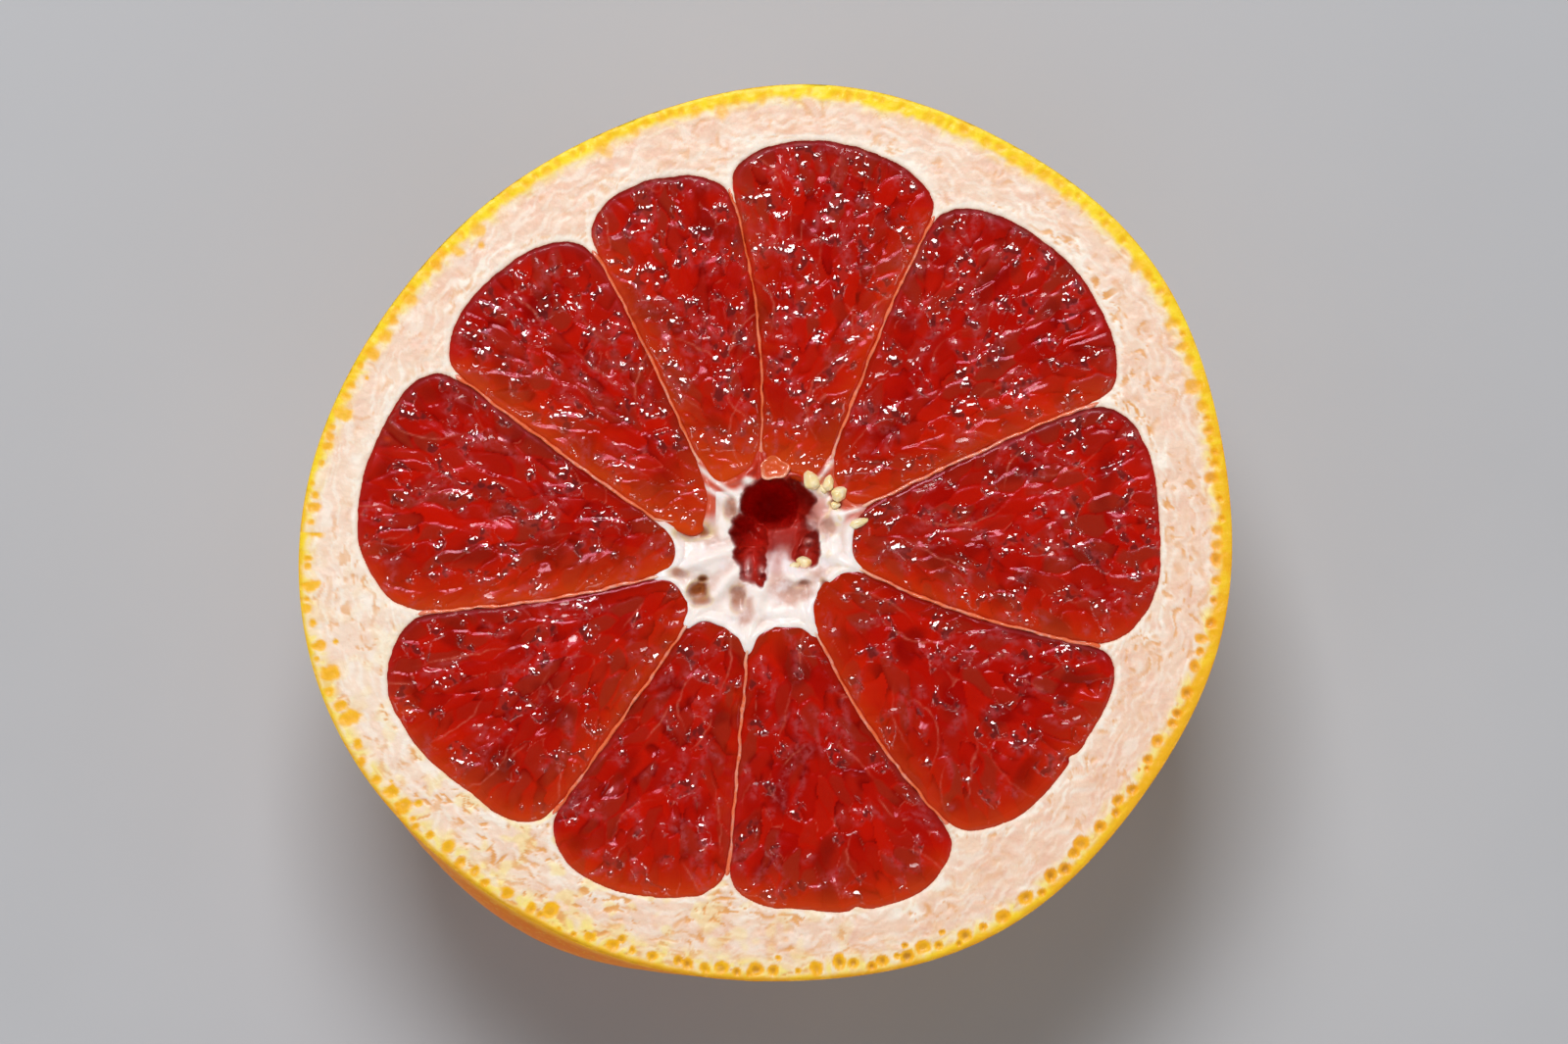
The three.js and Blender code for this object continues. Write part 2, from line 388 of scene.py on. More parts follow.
class Shader:
    """A node material under one Principled shader, with short ways to add nodes."""

    def __init__(self, name, soft=0.0, soft_radius=(1, 1, 1), soft_scale=0.002, **settings):
        self.material = bpy.data.materials.new(name)
        self.material.use_nodes = True
        self.tree = self.material.node_tree
        self.tree.nodes.clear()
        output = self.add("ShaderNodeOutputMaterial")
        surface = self.add("ShaderNodeBsdfPrincipled")
        self.plug(output.inputs["Surface"], surface.outputs[0])
        self.sockets = surface.inputs
        settings |= {"Subsurface_Weight": soft, "Subsurface_Radius": soft_radius,
                     "Subsurface_Scale": soft_scale}
        for socket, value in settings.items():
            self.plug(self.sockets[socket.replace("_", " ")], value)
        self.position = self.add("ShaderNodeTexCoord").outputs["Object"]

    def add(self, kind, inputs=None, **settings):
        node = self.tree.nodes.new(kind)
        for key, value in settings.items():
            setattr(node, key, value)
        for socket, value in (inputs or {}).items():
            self.plug(node.inputs[socket], value)
        return node

    def plug(self, socket, value):
        if isinstance(value, bpy.types.NodeSocket):
            self.tree.links.new(value, socket)
        elif socket.type == "RGBA":
            socket.default_value = (*value[:3], 1)
        else:
            socket.default_value = value

    def noise(self, size_mm, detail=3.0, roughness=0.55):
        inputs = {"Vector": self.position, "Scale": 1 / (size_mm * MM),
                  "Detail": detail, "Roughness": roughness}
        return self.add("ShaderNodeTexNoise", inputs).outputs["Fac"]

    def steps(self, value, low, high):
        """0 below low, 1 above high, smooth between."""
        inputs = {"Value": value, "From Min": low, "From Max": high}
        node = self.add("ShaderNodeMapRange", inputs, interpolation_type="SMOOTHSTEP")
        return node.outputs[0]

    def patches(self, size_mm, low, high, **grain):
        return self.steps(self.noise(size_mm, **grain), low, high)

    def maths(self, operation, a, b):
        return self.add("ShaderNodeMath", {0: a, 1: b}, operation=operation).outputs[0]

    def times(self, a, b):
        return self.maths("MULTIPLY", a, b)

    def scale(self, value, low, high):
        """A value from 0 to 1 turned into one from low to high."""
        return self.maths("ADD", self.times(value, high - low), low)

    def mix(self, share, a, b):
        return self.add("ShaderNodeMix", {0: share, 6: a, 7: b}, data_type="RGBA").outputs[2]

    def layers(self, colour, *coats):
        """A colour with others laid over it in turn, each by its share or product of shares."""
        for *shares, coat in coats:
            colour = self.mix(reduce(self.times, shares), colour, coat)
        return colour

    def channels(self, name):
        """The four numbers of a colour attribute of the mesh."""
        read = self.add("ShaderNodeAttribute", attribute_name=name)
        split = self.add("ShaderNodeSeparateColor", {"Color": read.outputs["Color"]})
        return [*split.outputs[:3], read.outputs["Alpha"]]

    def bump(self, height, depth_mm, socket="Normal"):
        inputs = {"Height": height, "Distance": depth_mm * MM, "Strength": 1.0}
        self.plug(self.sockets[socket], self.add("ShaderNodeBump", inputs).outputs[0])

    def done(self, colour, roughness, grain=None, grain_depth=0.0):
        """The material, with its colour, roughness and fine relief plugged in."""
        self.plug(self.sockets["Base Color"], colour)
        self.plug(self.sockets["Roughness"], roughness)
        if grain is not None:
            self.bump(grain, grain_depth)
        return self.material


DEEP_RED = (0.36, 0.002, 0.0)
BRIGHT_RED = (0.54, 0.007, 0.0)
MILKY_RED = (0.31, 0.017, 0.006)
# Laid on as painted shade along sac edges, along the pulp's north edges and beside the wet spots'
# highlights, and in darker patches at random.
DARK_RED = (0.09, 0.0, 0.0)
# Painted light: an orange laid on the pulp's south edges as if lit by light let through it, and the
# real orange towards the sac tips.
GLOW_AND_TIP_ORANGE = (0.60, 0.055, 0.005)
SAC_WALL = (0.62, 0.14, 0.09)
# Partly the pale skin of torn sacs and partly painted sheen, laid along the ridges.
STREAK_PINK_AND_SHEEN = (0.50, 0.09, 0.10)
SHEEN_TINT = (0.95, 0.37, 0.54)
WET_SPOTS = 1.15  # size of the wet spots on the pulp


def flesh_material():
    """Wet red pulp: `pulp` holds wall, milk, glow and streak, `wet` sparkle, shade, tone, dull."""
    shader = Shader("wet_pulp", 0.15, (1.0, 0.2, 0.1), 0.003, IOR=1.33,
                    Specular_Tint=SHEEN_TINT, Coat_Roughness=0.03, Coat_IOR=1.75)
    wall, milk, glow_and_tip_orange, streak = shader.channels("pulp")
    sparkle, shade, tone, dull = shader.channels("wet")
    thread = shader.patches(0.6, 0.35, 0.62, detail=4)
    cloud = shader.patches(6.0, 0.35, 0.65)
    spots = shader.noise(WET_SPOTS, detail=1)
    # Painted shade on the tops of the wet spots, beside their highlights.
    hollow = shader.times(shader.steps(spots, 0.52, 0.62), sparkle)
    bright = shader.maths("ADD", shader.times(tone, 0.6), shader.times(cloud, 0.4))
    # Painted light in this colour: glow on the south edges, shade at edges and beside the wet
    # spots, and sheen along the streaks.
    colour = shader.layers(
        DEEP_RED, (bright, BRIGHT_RED), (milk, MILKY_RED), (shade, 0.85, DARK_RED),
        (hollow, 0.7, DARK_RED), (glow_and_tip_orange, GLOW_AND_TIP_ORANGE), (streak, thread, 0.4, STREAK_PINK_AND_SHEEN),
        (wall, shader.scale(thread, 0.35, 1.0), SAC_WALL))
    wet = shader.times(shader.steps(spots, 0.42, 0.49), shader.scale(sparkle, 0.06, 1.0))
    shader.plug(shader.sockets["Coat Weight"], wet)
    shader.bump(shader.times(spots, sparkle), 0.48, "Coat Normal")
    rough = shader.scale(shader.noise(3.0), 0.13, 0.23)
    rough = shader.maths("ADD", rough, shader.times(dull, 0.5))
    return shader.done(colour, rough, shader.noise(0.8), 0.02)


PITH_CREAM = (0.90, 0.68, 0.52)
PITH_PEACH = (0.84, 0.50, 0.36)
PITH_WHITE = (0.96, 0.86, 0.75)
PITH_STRAND = (0.80, 0.38, 0.11)
PITH_YELLOW = (0.96, 0.78, 0.25)
GLAND_YELLOW = (0.97, 0.54, 0.008)
GLAND_AMBER = (0.95, 0.40, 0.005)
# Dark centres of some glands, and painted shade along the rim's edge at the bottom.
GLAND_DARK_AND_EDGE_SHADE = (0.46, 0.19, 0.010)
ZEST_YELLOW = (0.98, 0.74, 0.02)
ZEST_ORANGE = (0.92, 0.48, 0.01)


def pith_material():
    """Cut peel: `zones` holds zest, gland, strand, white, `tones` peach, yellow, orange, dark."""
    shader = Shader("cut_peel", 0.10, (1.0, 0.6, 0.4), IOR=1.36,
                    Coat_Weight=0.12, Coat_Roughness=0.25)
    zest, gland, strand, white = shader.channels("zones")
    peach, yellow, orange, dark = shader.channels("tones")
    mottle = shader.patches(1.6, 0.35, 0.68, detail=5, roughness=0.65)
    colour = shader.layers(
        PITH_CREAM, (peach, shader.scale(mottle, 0.3, 1.0), PITH_PEACH), (white, PITH_WHITE),
        (yellow, PITH_YELLOW), (strand, PITH_STRAND),
        (zest, shader.mix(orange, ZEST_YELLOW, ZEST_ORANGE)),
        (gland, shader.mix(orange, GLAND_YELLOW, GLAND_AMBER)), (dark, GLAND_DARK_AND_EDGE_SHADE))
    return shader.done(colour, shader.scale(shader.noise(0.8), 0.35, 0.6),
                       shader.noise(0.5, detail=4, roughness=0.6), 0.10)


RIND_YELLOW = (0.98, 0.49, 0.016)
RIND_AMBER = (0.97, 0.41, 0.012)
# A blush, made darker to serve also as painted shade on the lower-left flank.
RIND_BLUSH_AND_SHADE = (0.80, 0.19, 0.004)
RIND_SPECKLE = (0.95, 0.70, 0.09)
RIND_PORE = (0.62, 0.24, 0.010)
RIND_MARK = (0.42, 0.20, 0.05)
RIND_SCAR = (0.19, 0.10, 0.03)


def skin_material():
    """Waxy rind: `skin` holds pore, blush, scar and mark."""
    shader = Shader("waxy_rind", 0.06, (1.0, 0.5, 0.1), IOR=1.35, Specular_IOR_Level=0.16)
    pore, blush_and_shade, scar, mark = shader.channels("skin")
    speckle = shader.patches(0.7, 0.5, 0.75, detail=2)
    colour = shader.layers(
        RIND_YELLOW, (shader.patches(9.0, 0.35, 0.65, detail=4), RIND_AMBER), (blush_and_shade, RIND_BLUSH_AND_SHADE),
        (speckle, 0.25, RIND_SPECKLE), (pore, 0.5, RIND_PORE), (mark, RIND_MARK), (scar, RIND_SCAR))
    rough = shader.scale(shader.noise(1.2), 0.36, 0.52)
    return shader.done(colour, rough, shader.noise(0.45), 0.05)


MEMBRANE_SALMON = (0.90, 0.17, 0.065)
MEMBRANE_CREAM = (0.92, 0.62, 0.46)
# Painted sheen, laid in pinker patches along the membranes.
MEMBRANE_SHEEN_PINK = (0.90, 0.38, 0.30)
FLAP_ORANGE = (0.72, 0.09, 0.012)


def membrane_material():
    """Edges of the membranes: `film` holds cream, pink and orange."""
    shader = Shader("membrane", 0.2, (1.0, 0.4, 0.2), IOR=1.38,
                    Coat_Weight=0.8, Coat_Roughness=0.10)
    cream, pink, orange, _ = shader.channels("film")
    fleck = shader.patches(0.7, 0.35, 0.7, detail=4)
    colour = shader.layers(MEMBRANE_SALMON, (cream, 0.95, MEMBRANE_CREAM),
                           (pink, fleck, MEMBRANE_SHEEN_PINK), (orange, FLAP_ORANGE))
    return shader.done(colour, shader.scale(fleck, 0.25, 0.4), shader.noise(0.4), 0.06)


CORE_WHITE = (0.99, 0.905, 0.915)
# Painted shade in the core's dips and down its pockets' sides, and a pink at random.
CORE_PINK_AND_SHADE = (0.66, 0.38, 0.36)
CORE_CREAM = (0.88, 0.70, 0.40)
CORE_BROWN = (0.36, 0.10, 0.022)
CORE_PULP = (0.52, 0.022, 0.003)
CORE_RED = (0.34, 0.012, 0.005)
CORE_ROSE = (0.62, 0.21, 0.17)
CORE_FILM = (0.64, 0.085, 0.035)
# Painted light: a brighter red laid deep in the pockets, against the shade there.
CORE_PAINTED_LIGHT_RED = (0.95, 0.012, 0.006)


def core_material():
    """Pith at the core: `core` holds red, brown, pulp, pink, `fluff` cream, deep, rose, film."""
    shader = Shader("core_pith", 0.2, (1.0, 0.5, 0.4), IOR=1.38,
                    Coat_Weight=0.2, Coat_Roughness=0.18)
    red, brown, pulp, pink = shader.channels("core")
    cream, deep, rose, film = shader.channels("fluff")
    fluff = shader.patches(1.8, 0.2, 0.6)
    colour = shader.layers(
        CORE_WHITE, (fluff, pink, CORE_PINK_AND_SHADE), (fluff, cream, CORE_CREAM), (brown, CORE_BROWN),
        (film, CORE_FILM), (pulp, CORE_PULP), (rose, CORE_ROSE), (red, CORE_RED),
        (deep, CORE_PAINTED_LIGHT_RED))
    return shader.done(colour, shader.scale(fluff, 0.3, 0.5), shader.noise(0.9), 0.10)


SEED_TAN = (0.93, 0.68, 0.28)
SEED_CREAM = (0.98, 0.84, 0.55)


def seed_material():
    """Small unripe seeds."""
    shader = Shader("pale_seed", 0.2, (1.0, 0.6, 0.3), Coat_Weight=0.6, Coat_Roughness=0.15)
    tone = shader.patches(0.9, 0.3, 0.7)
    return shader.done(shader.mix(tone, SEED_TAN, SEED_CREAM), shader.scale(tone, 0.3, 0.45),
                       shader.noise(0.3), 0.04)


# ---- Flesh ----

SAC_LENGTH = 3.4  # half lengths and half widths of the juice sacs and of the torn ridges on them
SAC_WIDTH = 1.25
RIDGE_LENGTH = 1.3
RIDGE_WIDTH = 0.38
SAC_SPREAD = 1.5  # how strongly sacs lean towards the side walls
VEIN_WIDTH = 0.10


def scatter(rng, outline, count, apart, margin):
    """Up to `count` spots inside an outline, at least `apart` from one another."""
    low, high = outline.min(axis=0), outline.max(axis=0)
    tries = low + (high - low) * rng.random((count * 14, 2))
    tries = tries[signed_distance(tries, outline) > margin]
    spots = []
    for spot in tries:
        if len(spots) == count:
            break
        if not spots or np.min(((np.array(spots) - spot) ** 2).sum(axis=1)) > apart**2:
            spots.append(spot)
    return np.array(spots)


def strokes(points, spots, name, rng, sway):
    """Places of points along and across a stroke at each spot, as (points, spots) arrays.

    Strokes run as the juice sacs do: out from the tip, leaning towards the nearer side wall.
    """
    angle, _ = polar(spots, CORE)
    off_axis = (angle - segment_angle(name) + math.pi) % math.tau - math.pi
    direction = angle + SAC_SPREAD * off_axis + rng.normal(0, sway, len(spots))
    away_x = points[:, None, 0] - spots[:, 0]
    away_y = points[:, None, 1] - spots[:, 1]
    along = away_x * np.cos(direction) + away_y * np.sin(direction)
    return along, away_y * np.cos(direction) - away_x * np.sin(direction)


def stroke_shape(along, across, length, width):
    """1 on a stroke and 0 outside it, more suddenly at its ends than at its sides."""
    return np.exp(-((along / length) ** 4) - (across / width) ** 2)


def sac_relief(points, name, rng):
    """Juice sacs cut across: swollen cells, each at its own height and slant."""
    spots = scatter(rng, FLESH[name], 90, 1.9, -0.5)
    count = len(spots)
    bent = points + 0.35 * drift(points, 2.6, 21, 2)
    along, across = strokes(bent, spots, name, rng, 0.16)
    length = SAC_LENGTH * rng.uniform(0.7, 1.3, count)
    width = SAC_WIDTH * rng.uniform(0.75, 1.25, count)
    taper = 1 + 0.25 * along / length
    distance = np.sqrt((along / length) ** 2 + (across / (width * taper)) ** 2)
    owner = distance.argmin(axis=1)
    first, second = np.partition(distance, 1, axis=1)[:, :2].T
    pick = np.arange(len(points))
    edge = (second - first) * width[owner]
    lift, slant, roll = rng.normal(0, 1, (3, count))
    swell = (0.03 + 0.10 * rng.random(count) ** 2)[owner] * ramp(edge, 0.0, 0.85)
    height = swell + 0.03 * lift[owner]
    height += 0.015 * slant[owner] * along[pick, owner] + 0.025 * roll[owner] * across[pick, owner]
    wall = 0.5 * np.clip(1 - edge / 0.14, 0, 1) * (rng.random(count) < 0.35)[owner]
    wall *= patches(points, 2.8, 24, 0.05, 0.35, 2)
    milk = (rng.random(count) ** 2)[owner] * ramp(edge, 0.0, 0.45)
    # Painted shade along the edges of half the sacs, in patches.
    shade = 0.8 * (rng.random(count) < 0.5)[owner] * fade(edge, 0.4)
    shade *= patches(points, 2.0, 25, -0.2, 0.3)
    tone = rng.random(count)[owner]
    return height, wall, milk, shade, tone


def ridge_relief(points, name, rng):
    """Torn scraps of sac skin that stand up as short curved ridges."""
    spots = scatter(rng, FLESH[name], 110, 1.0, 0.2)
    crowd = noise(spots, 5.0, 23, 2)
    spots = spots[crowd > rng.uniform(-0.2, 0.4, len(spots))]
    count = len(spots)
    along, across = strokes(points, spots, name, rng, 0.75)
    length = RIDGE_LENGTH * rng.uniform(0.4, 1.5, count)
    width = RIDGE_WIDTH * rng.uniform(0.7, 1.4, count)
    bend = rng.normal(0, 0.16, count)
    shape = stroke_shape(along, across - bend * along**2 / 2, length, width)
    height = shape * rng.uniform(0.02, 0.08, count)
    pick, best = np.arange(len(points)), height.argmax(axis=1)
    return height[pick, best], shape[pick, best]


def split_relief(points, name, rng):
    """A few smooth shallow splits between sacs, as depth below the pulp about them."""
    spots = scatter(rng, FLESH[name], 4, 5.0, 2.0)
    count = len(spots)
    along, across = strokes(points + 0.3 * drift(points, 2.2, 28), spots, name, rng, 0.35)
    shape = stroke_shape(along, across, rng.uniform(0.8, 2.2, count), rng.uniform(0.5, 0.9, count))
    return (shape * rng.uniform(0.15, 0.40, count)).max(axis=1)


def vein_lines(points, name, rng):
    """Thin pale lines where sac walls are cut edge on."""
    spots = scatter(rng, FLESH[name], 8, 4.0, 0.5)
    count = len(spots)
    along, across = strokes(points + 0.25 * drift(points, 1.8, 26, 2), spots, name, rng, 0.3)
    length = rng.uniform(1.2, 4.2, count)
    bend = rng.normal(0, 0.09, count)
    line = stroke_shape(along, across - bend * along**2, length, VEIN_WIDTH)
    return (line * rng.uniform(0.15, 0.7, count)).max(axis=1)


def pulp_relief(points, name):
    """Height of the pulp over the cut face, and the amounts of the colours and wetness on it."""
    rng = np.random.default_rng(1000 + SEGMENTS.index(name))
    sacs, wall, milk, shade, tone = sac_relief(points, name, rng)
    ridges, streak = ridge_relief(points, name, rng)
    vein = vein_lines(points, name, rng)
    split = split_relief(points, name, rng)
    ripple = (0.01 + 0.07 * patches(points, 4.5, 51, -0.1, 0.5, 2)) * noise(points, 2.3, 52, 2)
    height = sacs + ridges - split + 0.05 * vein + ripple
    sparkle = noise(points, 3.0, 56) + sides(points, (0.14, 90, 80), (-0.12, 270, 55))
    sparkle = ramp(sparkle, 0.12, 0.26) + 0.35 * streak
    # Darker patches at random.
    shade = np.maximum(shade, 0.5 * patches(points, 4.5, 57, 0.2, 0.6))
    return height, np.maximum(wall, vein), milk, streak, sparkle, shade, tone


def pulp_surface(points, depth, facing, name):
    """Height of the pulp over the cut face, with its sunk edge, and the eight amounts on it.

    `depth` is how far inside the edge a point is, and `facing` how much that grows to the north.
    """
    relief, wall, milk, streak, sparkle, shade, tone = pulp_relief(points, name)
    inner = ramp(depth, -0.1, 0.7)
    sunk = 0.20 * (1 - ramp(depth, -0.2, 0.40)) + 1.2 * ramp(-depth, 0.1, 0.5)
    radius = from_axis(points)
    # Painted light along the pulp's south edges, where light let through the pulp would show, and a
    # real orange towards the tips.
    glow_and_tip_orange = fade(depth, 1.8) * (0.9 * np.clip(facing, 0, 1) + 0.05) + 0.35 * ramp(-radius, -16, -8)
    glow_and_tip_orange *= 0.95 + sides(points, (0.35, 110, 60), (-0.4, 0, 45))
    # Painted shade along the pulp's north edges.
    shade = np.maximum(shade, fade(depth, 0.9) * np.clip(-facing, 0, 0.9))
    dull = fade(depth, 0.5) * ramp(radius, 24, 30)
    amounts = np.stack([wall, milk, glow_and_tip_orange, streak, sparkle * inner, shade, tone, dull], 1)
    return relief * inner - sunk, amounts


def add_body(solid, faces, floor_z):
    """A segment's top, closed below by rings that draw in to its lowest end."""
    loop = np.array(max(boundary_loops(faces), key=len))
    faces = [faces]
    for ring in body_rings(solid[loop, :2], floor_z):
        numbers = len(solid) + np.arange(len(ring))
        solid = np.vstack([solid, ring])
        faces.append(bridge(loop, numbers))
        loop = numbers
    faces.append(fan(loop, len(solid)))
    return np.vstack([solid, solid[loop].mean(axis=0)]), faces


def make_flesh(name, material):
    """One segment: uneven wet pulp on top, and a plain body below that fills the pocket."""
    points, depth = GRIDS[name]
    facing = np.gradient(depth, STEP)[0].ravel()
    faces = grid_faces(*depth.shape)
    depth = depth.ravel()
    faces = faces[(depth[faces] > -FLESH_SKIRT).all(axis=1)]
    faces, points, depth, facing = compact(faces, points, depth, facing)
    height, amounts = pulp_surface(points, depth, facing, name)
    top = np.column_stack([points, FACE_Z + height])
    solid, faces = add_body(top, faces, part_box(name)[0].z / MM)
    body = np.tile(BODY_AMOUNTS, (len(solid) - len(top), 1))
    amounts = np.vstack([amounts, body])
    return make_piece(name.replace("segment", "flesh"), solid, faces, material,
                      [name], {"pulp": amounts[:, :4], "wet": amounts[:, 4:]})


LAST_SECTION = 0.14  # size of a segment's lowest section against its outline on the cut face
BODY_AMOUNTS = (0, 0.3, 0.1, 0, 0, 0, 0, 0)  # of colours and wetness below the cut face


def body_rings(outline, floor_z):
    """Sections of a segment from under the cut face to its lowest end, drawn in to the tip."""
    radii = from_axis(outline)
    tip, tip_radius, reach = outline[radii.argmin()], radii.min(), radii.max()
    last = math.acos((tip_radius + LAST_SECTION * (reach - tip_radius)) / reach)
    rings = []
    for k, turn in enumerate(np.linspace(0.04, 1, 9) * last):
        size = (reach * math.cos(turn) - tip_radius) / (reach - tip_radius)
        ring = (tip + (outline - tip) * size)[:: 1 if k == 0 else 4]
        z = FACE_Z - (FACE_Z - floor_z) * math.sin(turn) / math.sin(last)
        rings.append(np.column_stack([ring, np.full(len(ring), z)]))
    return rings


# ---- Rind ----


def rind_rings():
    """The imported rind's rings of vertices from the cut edge down, each in order of angle."""
    count = len(peel_loops[-1])
    rings = []
    for z in np.unique(np.round(peel_points[:, 2], 2))[::-1]:
        level = peel_points[np.abs(peel_points[:, 2] - z) < 0.02]
        if len(level) >= count:
            ring = level[np.argsort(-from_axis(level))[:count]]
            rings.append(ring[np.argsort(polar(ring[:, :2], CORE)[0])])
    return np.array(rings)


RIND = rind_rings()
RIND_ENDS = np.concatenate([2 * RIND[:1] - RIND[1:2], RIND, 2 * RIND[-1:] - RIND[-2:-1]])
RIND_COLUMNS = 640  # points in the uppermost ring
RIND_STEP = 0.074  # between the mesh's rings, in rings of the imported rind
RIND_NARROWEST = 0.26  # spacing round a ring under which every second point goes
SPOT_SIZES = (0.85, 0.7, 0.55, 0.4, 0.28, 0.18, 0.09)  # of the rings on the resting spot
PORE_SPACING = 1.35


def curve_weights(share):
    """Catmull-Rom weights of four neighbours."""
    s = share
    return [(-s + 2 * s**2 - s**3) / 2, (2 - 5 * s**2 + 3 * s**3) / 2,
            (s + 4 * s**2 - 3 * s**3) / 2, (s**3 - s**2) / 2]


def rind_point(turn, level):
    """Points of the smooth rind: `turn` from 0 to 1 round it, `level` in rings under the cut."""
    count = RIND.shape[1]
    column = np.floor(turn * count).astype(int)
    row = np.clip(np.floor(level).astype(int), 0, len(RIND) - 2)
    total = np.zeros((len(turn), 3))
    for i, row_weight in enumerate(curve_weights(level - row)):
        for j, column_weight in enumerate(curve_weights(turn * count - column)):
            weight = (row_weight * column_weight)[:, None]
            total += weight * RIND_ENDS[row + i, (column + j - 1) % count]
    return total


def skin_fields(points):
    """How far the skin stands out, and its pore, blush, scar and mark amounts."""
    from_spot, owner = cells_of(points / PORE_SPACING, 91)
    pore = ramp(-from_spot, -0.40, -0.10) * (0.4 + 0.6 * hashed(owner, 92))
    height = 0.16 * noise(points, 14.0, 93, 2) + 0.05 * noise(points, 2.6, 94, 2) - 0.08 * pore
    depth = FACE_Z - points[:, 2]
    radius = from_axis(points)
    blush_and_shade = 0.45 * patches(points, 22.0, 95, -0.3, 0.6, 3) * ramp(depth, 2, 16)
    # Full blush on the lower-left flank just under the cut: partly real blush, partly painted
    # shade.
    blush_and_shade += bearing(points, 240, 30) * ramp(depth, 0.2, 2.0)
    under = ramp(depth, FACE_Z - 5, FACE_Z - 1)
    scar = under * ramp(-radius, -2.0, -1.1)
    mark = 0.5 * under * bell(radius, 0.8, 3.4)
    mark += 0.4 * patches(points * [1, 1, 3], 3.0, 96, 0.72, 0.9, 3)
    height -= 0.25 * under * ramp(-radius, -3.2, -1.0)
    return height, np.stack([pore, blush_and_shade, scar, mark], 1)


def make_rind(material):
    """The rind from just under the cut edge to the resting spot, in rings of ever fewer points."""
    bottom = len(RIND) - 1.001
    levels = [0.02, 0.05, 0.09, *np.arange(0.14, bottom, RIND_STEP), bottom]
    columns = RIND_COLUMNS
    rings = []
    for level in levels:
        ring = rind_point(np.arange(columns) / columns, np.full(columns, level))
        if math.tau * from_axis(ring).mean() / columns < RIND_NARROWEST:
            columns //= 2
            ring = ring[::2]
        rings.append(ring)
    for size in SPOT_SIZES:
        ring = rings[len(levels) - 1].copy()
        ring[:, :2] = CORE + (ring[:, :2] - CORE) * size
        rings.append(ring)
    starts = np.cumsum([0] + [len(ring) for ring in rings])
    numbers = [np.arange(start, end) for start, end in pairwise(starts)]
    faces = [ring_band(upper, lower) for upper, lower in pairwise(numbers)]
    faces.append(fan(numbers[-1], starts[-1]))
    points = np.concatenate([*rings, [[*CORE, 0.0]]])

    lift, skin = skin_fields(points)
    away = points - [*CORE, FACE_Z + 4]
    away /= np.linalg.norm(away, axis=1)[:, None]
    points += away * (lift * ramp(FACE_Z - points[:, 2], 0.2, 2.5) - 0.03)[:, None]
    points[:, 2] = np.clip(points[:, 2], 0.0, FACE_Z - 0.12)
    return make_piece("rind", points, faces, material, colours={"skin": skin})


def ring_band(upper, lower):
    """Faces between two rings, the lower with as many points as the upper or half as many."""
    if len(upper) == len(lower):
        return np.stack([upper, lower, np.roll(lower, -1), np.roll(upper, -1)], 1)
    return bridge(upper, lower)


# ---- Cut face of the peel ----

PEEL_STEP = 0.21  # spacing of the cut peel's points
PEEL_REACH = 16.5  # how far in from the rim the mesh of the cut peel goes
PEEL_UNDER = 0.75  # how far it goes under the pulp
SKIRT = (0.16, 0.24, 0.36, 0.55, 0.85)  # depths of its rings that the rind's upper edge covers
MEAN_RADIUS = 46.0  # of the cut peel, which turns an angle into a length round it
RING_DROP = 6.0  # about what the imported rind's second ring lies under its first


def make_glands():
    """Oil glands cut across, inside the skin: angle, radius, half sizes inwards and along, tone."""
    rng = np.random.default_rng(7)
    glands = []
    angle = -math.pi
    while angle < math.pi:
        place = at(math.degrees(angle), 1.0)[None]
        quarters = ((310, 60), (80, 60), (345, 40))
        lower_right, top, right = (bearing(place, *quarter)[0] for quarter in quarters)
        size = rng.uniform(0.36, 1.0)
        inward = size * rng.uniform(0.8, 1.6 - 0.6 * lower_right)
        radius = rim_radius(angle) - 0.18 - 0.32 * lower_right - 0.45 * right - inward
        radius -= rng.uniform(-0.15, 0.55) * (1 - 0.7 * top)
        glands.append([angle, radius, inward, size, rng.random()])
        if rng.random() < 0.12 * (1 - top):
            extra = size * rng.uniform(0.4, 0.7)
            aside = angle + rng.uniform(-1, 1) / 45
            deeper = radius - inward - rng.uniform(0.1, 0.8)
            glands.append([aside, deeper, extra, extra, rng.random()])
        angle += (1.8 * size + min(rng.exponential(0.7), 1.6)) / radius
    return np.array(glands)


GLANDS = make_glands()


def gland_fields(points):
    """How deep in an oil gland each point is, 1 at its centre and 0 at its edge, and its tone."""
    depth = np.full(len(points), -9.0)
    tone = np.full(len(points), 0.5)
    angles, radii = polar(points, CORE)
    order = np.argsort(angles)
    in_order = angles[order]
    wobble = (0.36 - 0.16 * bearing(points, 310, 70)) * noise(points, 1.1, 61, 2)
    for angle, radius, inward, along, shade in GLANDS:
        window = 2.4 * along / radius
        low, high = np.searchsorted(in_order, [angle - window, angle + window])
        chosen = order[low:high]
        out = (radii[chosen] - radius) / inward
        aside = (angles[chosen] - angle) * radius / along
        inside = 1 - np.hypot(out, aside) + wobble[chosen]
        tone[chosen] = np.where(inside > depth[chosen], shade, tone[chosen])
        depth[chosen] = np.maximum(depth[chosen], inside)
    return depth, tone


def zest_width(points, around):
    """How far in from the rim the coloured skin shows, by place."""
    return 0.45 + 0.35 * noise(around, [2.0, 9.0], 73, 2) + sides(
        points, (0.85, 80, 75), (0.20, 300, 70), (0.6, 345, 40), (0.3, 55, 30), (0.3, 140, 25),
        (-0.25, 200, 25), (-0.2, 275, 25))


